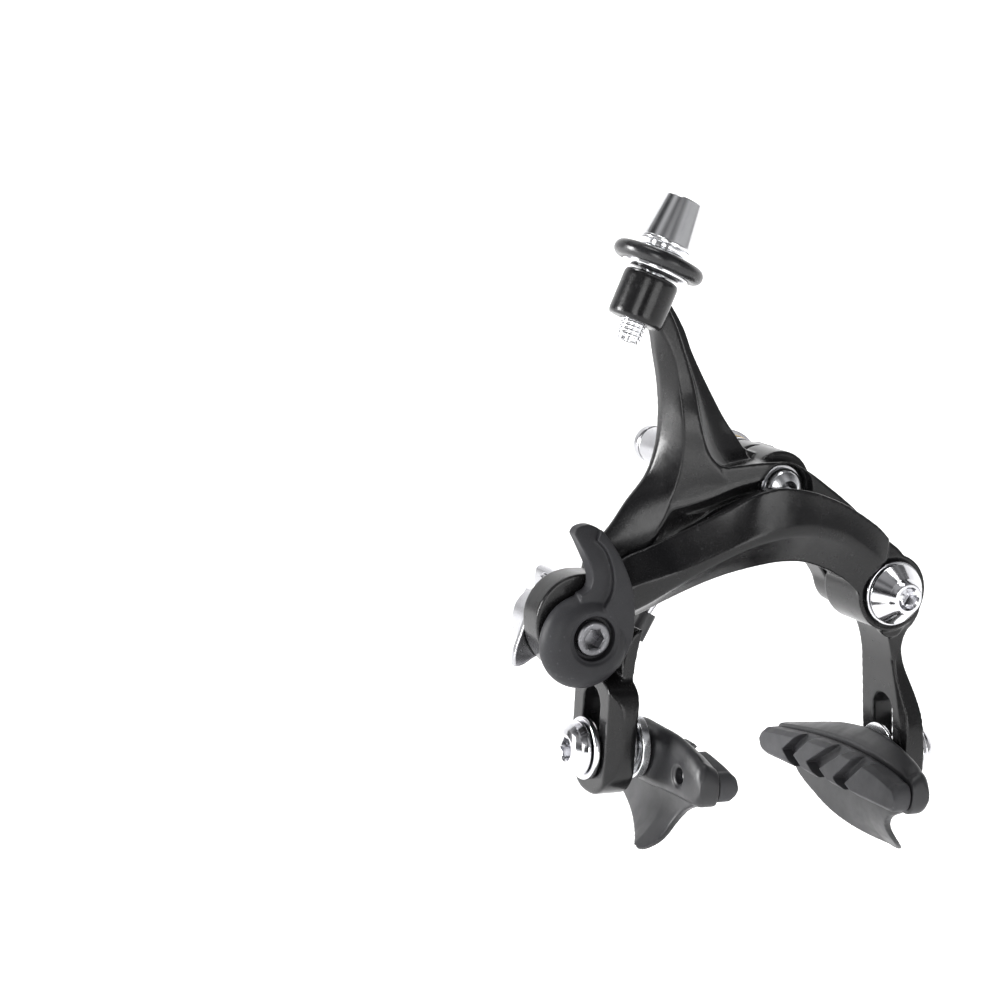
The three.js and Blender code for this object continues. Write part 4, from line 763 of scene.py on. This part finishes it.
# ------------------------------------------------------------------ brake shoes
def shoe(side, px, zc, tilt_out):
    s = -1 if side == "left" else 1
    X = lambda v: px + s * v
    yk = [-46, -42.5, -38, -32.5, -24, -12.7, -4, 3, 5]
    top = lambda y: float(np.interp(y, yk, [-0.9, 0.3, 1.1, 1.6, 1.7, 0.9, -0.3, -1.5, -2.0]))
    tk = knots_of(np.array([[a, b] for a, b in zip(yk, [-0.9, 0.3, 1.1, 1.6, 1.7, 0.9, -0.3, -1.5, -2.0])]), 1.0)
    TY = hermite(tk, np.array([[a, b] for a, b in zip(yk, [-0.9, 0.3, 1.1, 1.6, 1.7, 0.9, -0.3, -1.5, -2.0])]), np.linspace(0, tk[-1], 200))
    topf = lambda y: float(np.interp(y, TY[:, 0], TY[:, 1]))
    sole = lambda y: -6.4 - (y + 21) * 0.033
    y0, y1, r = -46.0, 5.0, 2.6

    def span(y, ex, ez):
        """bottom and top of the body at y"""
        a0, a1 = y0 - ex, y1 + ex
        yy = min(max(y, a0 + r), a1 - r)
        b, t = zc + sole(yy) - ez, zc + topf(yy) + ez
        d = abs(y - yy) / r
        c = math.sqrt(max(0.0, 1 - min(1.0, d) ** (2 / 0.7)))
        m, h = (b + t) / 2, (t - b) / 2
        return m - h * max(c, 0.03), m + h * max(c, 0.03)

    def ys(ex):
        a0, a1 = y0 - ex, y1 + ex
        e = 1 - np.cos(np.linspace(0, math.pi / 2, 12))
        return np.concatenate([a0 + r * e, np.linspace(a0 + r, a1 - r, 70)[1:-1], a1 - r * e[::-1]])

    # pad: flat face, bevelled edges, three chevron grooves
    st = []
    for y in ys(0):
        b, t = span(y, 0, 0)
        h = t - b
        c = min(0.9, 0.3 * h)
        st.append([[X(4.0), y, b], [X(1.1), y, b], [X(0), y, b + c], [X(0), y, t - c], [X(1.2), y, t], [X(4.0), y, t]])
    pad = loft(st, None, [(4, None), (2, None), (8, None), (2, None), (4, None), (8, None)])
    # cut the three chevron grooves into the face
    for (ya, za, yt, yb) in [(-6.5, -4.1, -12.7, -10.9), (-16.3, -4.1, -24.0, -20.9), (-26.2, -4.4, -32.5, -30.6)]:
        w, zt, zz = 1.45, 3, -8
        kt, kb = (yt - ya) / (1.3 - za), (yb - ya) / (-6.4 - za)
        f, h = math.hypot(1, kt), math.hypot(1, kb)
        P = [[ya + kt * (zt - za) - w * f, zc + zt], [ya - w * f, zc + za], [ya + kb * (zz - za) - w * h, zc + zz], [ya + kb * (zz - za) + w * h, zc + zz], [ya + w * f, zc + za], [ya + kt * (zt - za) + w * f, zc + zt]]
        sub(pad, prism(P, "X", min(X(-0.5), X(2.8)), max(X(-0.5), X(2.8)), step=None))
    soften(pad, 0.17, 3)
    finish_piece(pad, side + "_pad", sharp=0)

    # holder: shell behind the pad, thick in the middle, rounded outside, with the curved fin
    out = 9.6 if side == "left" else 10.4
    ym = (y0 + y1) / 2
    ok = curve([[y0 - 0.3, 8.3], [y0 + 2, 8.75], [ym - 14, out - 0.75], [ym - 8, out - 0.1], [ym - 3, out], [ym + 1, out], [ym + 6, out - 0.1], [ym + 11, out - 0.7], [y1 - 2, 8.6], [y1 + 0.3, 8.1]], 0.5)
    outf = lambda y: float(np.interp(y, ok[:, 0], ok[:, 1]))
    st = []
    for y in ys(0.3):
        b, t = span(y, 0.3, 0.7)
        h = t - b
        ox = outf(y)
        rc = min(1.9, 0.42 * h, 0.45 * (ox - 4.3))
        pts = [[4.3, b], [ox - rc, b]]
        pts += [[ox - rc + rc * math.sin(a), b + rc - rc * math.cos(a)] for a in np.linspace(0, math.pi / 2, 7)[1:]]
        hump = float(np.interp(y, [-46.3, -41.5, -34, -23, -13, -1, 5.3], [1.2, 2.0, 2.6, 2.8, 2.1, 0.6, 0.0]))
        pts += [[ox - rc + rc * math.cos(a), t - rc + rc * math.sin(a) + hump * math.sin(a)] for a in np.linspace(0, math.pi / 2, 7)]
        pts += [[4.3 + (ox - rc - 4.3) * w, t + hump * (0.12 + 0.88 * w ** 0.8)] for w in (0.75, 0.5, 0.25, 0)]
        st.append([[X(p[0]), y, p[1]] for p in pts])
    hold = loft(st, None)

    # guide fin: a thin sheet under the holder that flares out towards its hooked front end
    FO = [[2, -4.2], [-3.9, -9.4], [-12, -12.4], [-17, -14.3], [-22.5, -16], [-27.5, -17.1], [-31.2, -17.7], [-33.2, -17.6], [-35, -16], [-35.5, -14.2], [-35.5, -12.2], [-36.4, -10.3], [-38.1, -8.7], [-40, -7.7], [-42.0, -6.6], [-42.0, -4.2]]
    F = prism([[a, zc + b] for a, b in FO], "X", 0, 1.9, 0.6, 60)
    fuse(F, 0.32)
    for v in F.data.vertices:
        d = max(0.0, zc - 7 - v.co.z)
        g = min(1.0, max(0.0, (-12 - v.co.y) / 18))
        thin = 1 - 0.35 * min(1.0, d / 10)
        v.co.x = X(4.7 + v.co.x * thin + 0.06 * d * d * g)
    bm = bmesh.new(); bm.from_mesh(F.data)
    bmesh.ops.recalc_face_normals(bm, faces=bm.faces)
    bm.to_mesh(F.data); bm.free()
    add(hold, F)
    by = SHOE_Y
    cx = lambda y, z, rr, a, b: cylX(y, z, rr, min(X(a), X(b)), max(X(a), X(b)))
    sub(hold, cx(by, zc, 3.3, 5.2, 14), cx(-38, zc - 2, 1.55, 3.9, 14), cx(-38, zc - 2, 2.15, outf(-38) - 0.35, 14), voxel=0.19)
    soften(hold, 0.19, 5)
    finish_piece(hold, side + "_holder", sharp=0)
    d = (s, 0, 0)
    T(side + "_pad_screw", [(0, 0), (1.25, 0), (1.25, out - 6.9), (1.0, out - 6.9 + 0.05), (0.85, out - 6.92, "c"), (0.75, out - 7.0, "h"), (0.75, out - 8.3, "h"), (0, out - 8.5)], (X(4.3), -38, zc - 2), d, 60)
    return X


def shoes():
    y = SHOE_Y
    X = shoe("left", -16.0, SHOE_ZL, 9.6)
    z = SHOE_ZL
    o = (X(9.6) - 0.3, y, z)
    T("left_cup_washer", [(3.3, 0), (6.4, 0), (6.4, 1.6), (5.9, 2.0), (4.6, 1.3), (3.3, 1.0)], o, (-1, 0, 0), fillet=0.18)
    T("left_dome_washer", [(3.3, 1.35), (4.5, 1.65), (5.2, 2.5), (6.2, 2.9), (6.2, 3.75), (3.3, 3.75)], o, (-1, 0, 0), fillet=0.18)
    T("left_flange_washer", [(3.3, 0), (6.0, 0), (6.0, 1.3), (3.3, 1.3)], (-36.3, y, z), (-1, 0, 0), fillet=0.4)
    T("left_shoe_bolt", [(0, 0), (3, 0), (3, 16.3), (5.25, 16.3), (5.3, 16.9), (4.75, 18.1), (3.7, 18.95), (2.6, 19.3), (2.4, 19.25, "c"), (2.0, 19.05, "h"), (2.0, 16.6, "h"), (0, 16.2)], (-21.6, y, z), (-1, 0, 0), fillet=0.35)
    X = shoe("right", 19.5, SHOE_ZR, 10.4)
    z = SHOE_ZR
    T("right_inner_washer", [(3.3, 0), (6.0, 0), (6.0, 0.65), (3.3, 0.65)], (X(10.4) + 0.3, y, z), (1, 0, 0))
    T("right_flange_washer", [(3.3, 0), (6.0, 0), (6.0, 1.2), (3.3, 1.2)], (37.75, y, z), (1, 0, 0), fillet=0.4)
    T("right_shoe_bolt", [(0, 0), (3, 0), (3, 14.1), (5.25, 14.1), (5.3, 14.7), (4.75, 15.9), (3.7, 16.75), (2.6, 17.1), (2.4, 17.05, "c"), (2.0, 16.85, "h"), (2.0, 14.4, "h"), (0, 14.0)], (25.15, y, z), (1, 0, 0), fillet=0.35)


shoes()

# any node not rebuilt keeps its CAD mesh with its procedural material
for n, ob in frame["nodes"].items():
    ob.data.materials.clear()
    ob.data.materials.append(M[SLOT[n]])
    if n not in DONE:
        print("CAD node shown:", n)


# ------------------------------------------------------------------ stage and light
def stage():
    FZ = -0.150
    # floor that sweeps up behind: one smooth sheet
    P = [(-2.6, FZ), (1.1, FZ)] + [(1.1 + 0.6 * math.sin(a), FZ + 0.6 - 0.6 * math.cos(a)) for a in np.linspace(0, math.pi / 2, 24)[1:]] + [(1.7, 2.6)]
    V, F = [], []
    for x in (-3.2, 3.2):
        for y, z in P:
            V.append((x, y, z))
    n = len(P)
    for i in range(n - 1):
        F.append((i, i + 1, n + i + 1, n + i))
    me = bpy.data.meshes.new("floor")
    me.from_pydata(V, [], F)
    me.polygons.foreach_set("use_smooth", np.ones(len(F), bool))
    o = bpy.data.objects.new("floor", me)
    o.rotation_euler = (0, 0, math.radians(-31))
    SC.collection.objects.link(o)
    m = bpy.data.materials.new("floor_pale")
    m.use_nodes = True
    nt = m.node_tree
    bs = nt.nodes["Principled BSDF"]
    tc = nd(nt, "ShaderNodeTexCoord")
    nn = noise(nt, tc.outputs["Object"], 6.0, 3.0)
    nt.links.new(mixc(nt, ramp(nt, nn, 0.0, 1.0), (0.90, 0.90, 0.905), (0.92, 0.92, 0.92)), bs.inputs["Base Color"])
    bs.inputs["Roughness"].default_value = 0.9
    bs.inputs["Emission Color"].default_value = (1, 1, 1, 1)
    bs.inputs["Emission Strength"].default_value = 0.72
    me.materials.append(m)


def area(name, loc, target, size, power, shape="RECTANGLE", size_y=None, spread=None):
    L = bpy.data.lights.new(name, "AREA")
    L.shape = shape
    L.size = size
    if size_y:
        L.size_y = size_y
    L.energy = power
    if spread:
        L.spread = math.radians(spread)
    o = bpy.data.objects.new(name, L)
    o.location = loc
    d = Vector(target) - Vector(loc)
    o.rotation_euler = d.to_track_quat("-Z", "Y").to_euler()
    SC.collection.objects.link(o)
    return o


def lights():
    w = bpy.data.worlds.new("world")
    SC.world = w
    w.use_nodes = True
    bg = w.node_tree.nodes["Background"]
    wt = w.node_tree
    wc = nd(wt, "ShaderNodeTexCoord")
    wn = noise(wt, wc.outputs["Generated"], 1.7, 1.0, 0.4)
    wt.links.new(mixc(wt, ramp(wt, wn, 0.0, 1.0, 0.38, 0.6), (0.05, 0.05, 0.055), (1.0, 1.0, 1.02)), bg.inputs[0])
    bg.inputs[1].default_value = 0.42
    # left strip, slightly behind; front panel low; backdrop wash; top
    area("left_box", (-1.0, 0.33, 0.15), (0, -0.02, 0), 0.30, 16.0, size_y=0.5)
    area("front_box", (0.20, -1.25, 0.05), (0, -0.02, 0), 0.6, 3.4, size_y=0.5)
    area("front_left", (-0.75, -0.95, 0.22), (0, -0.02, 0), 0.40, 4.0, size_y=0.6)
    area("back_wash", (-0.2, 0.75, 1.5), (-0.3, 1.4, 0.1), 1.6, 5, size_y=0.8)
    area("top_box", (-0.1, -0.1, 1.1), (0, 0, 0), 0.4, 2.5, size_y=0.3)
    SC.view_settings.view_transform = "Standard"
    SC.view_settings.look = "None"
    SC.view_settings.exposure = 0.0
    SC.view_settings.gamma = 1.0


stage()
lights()
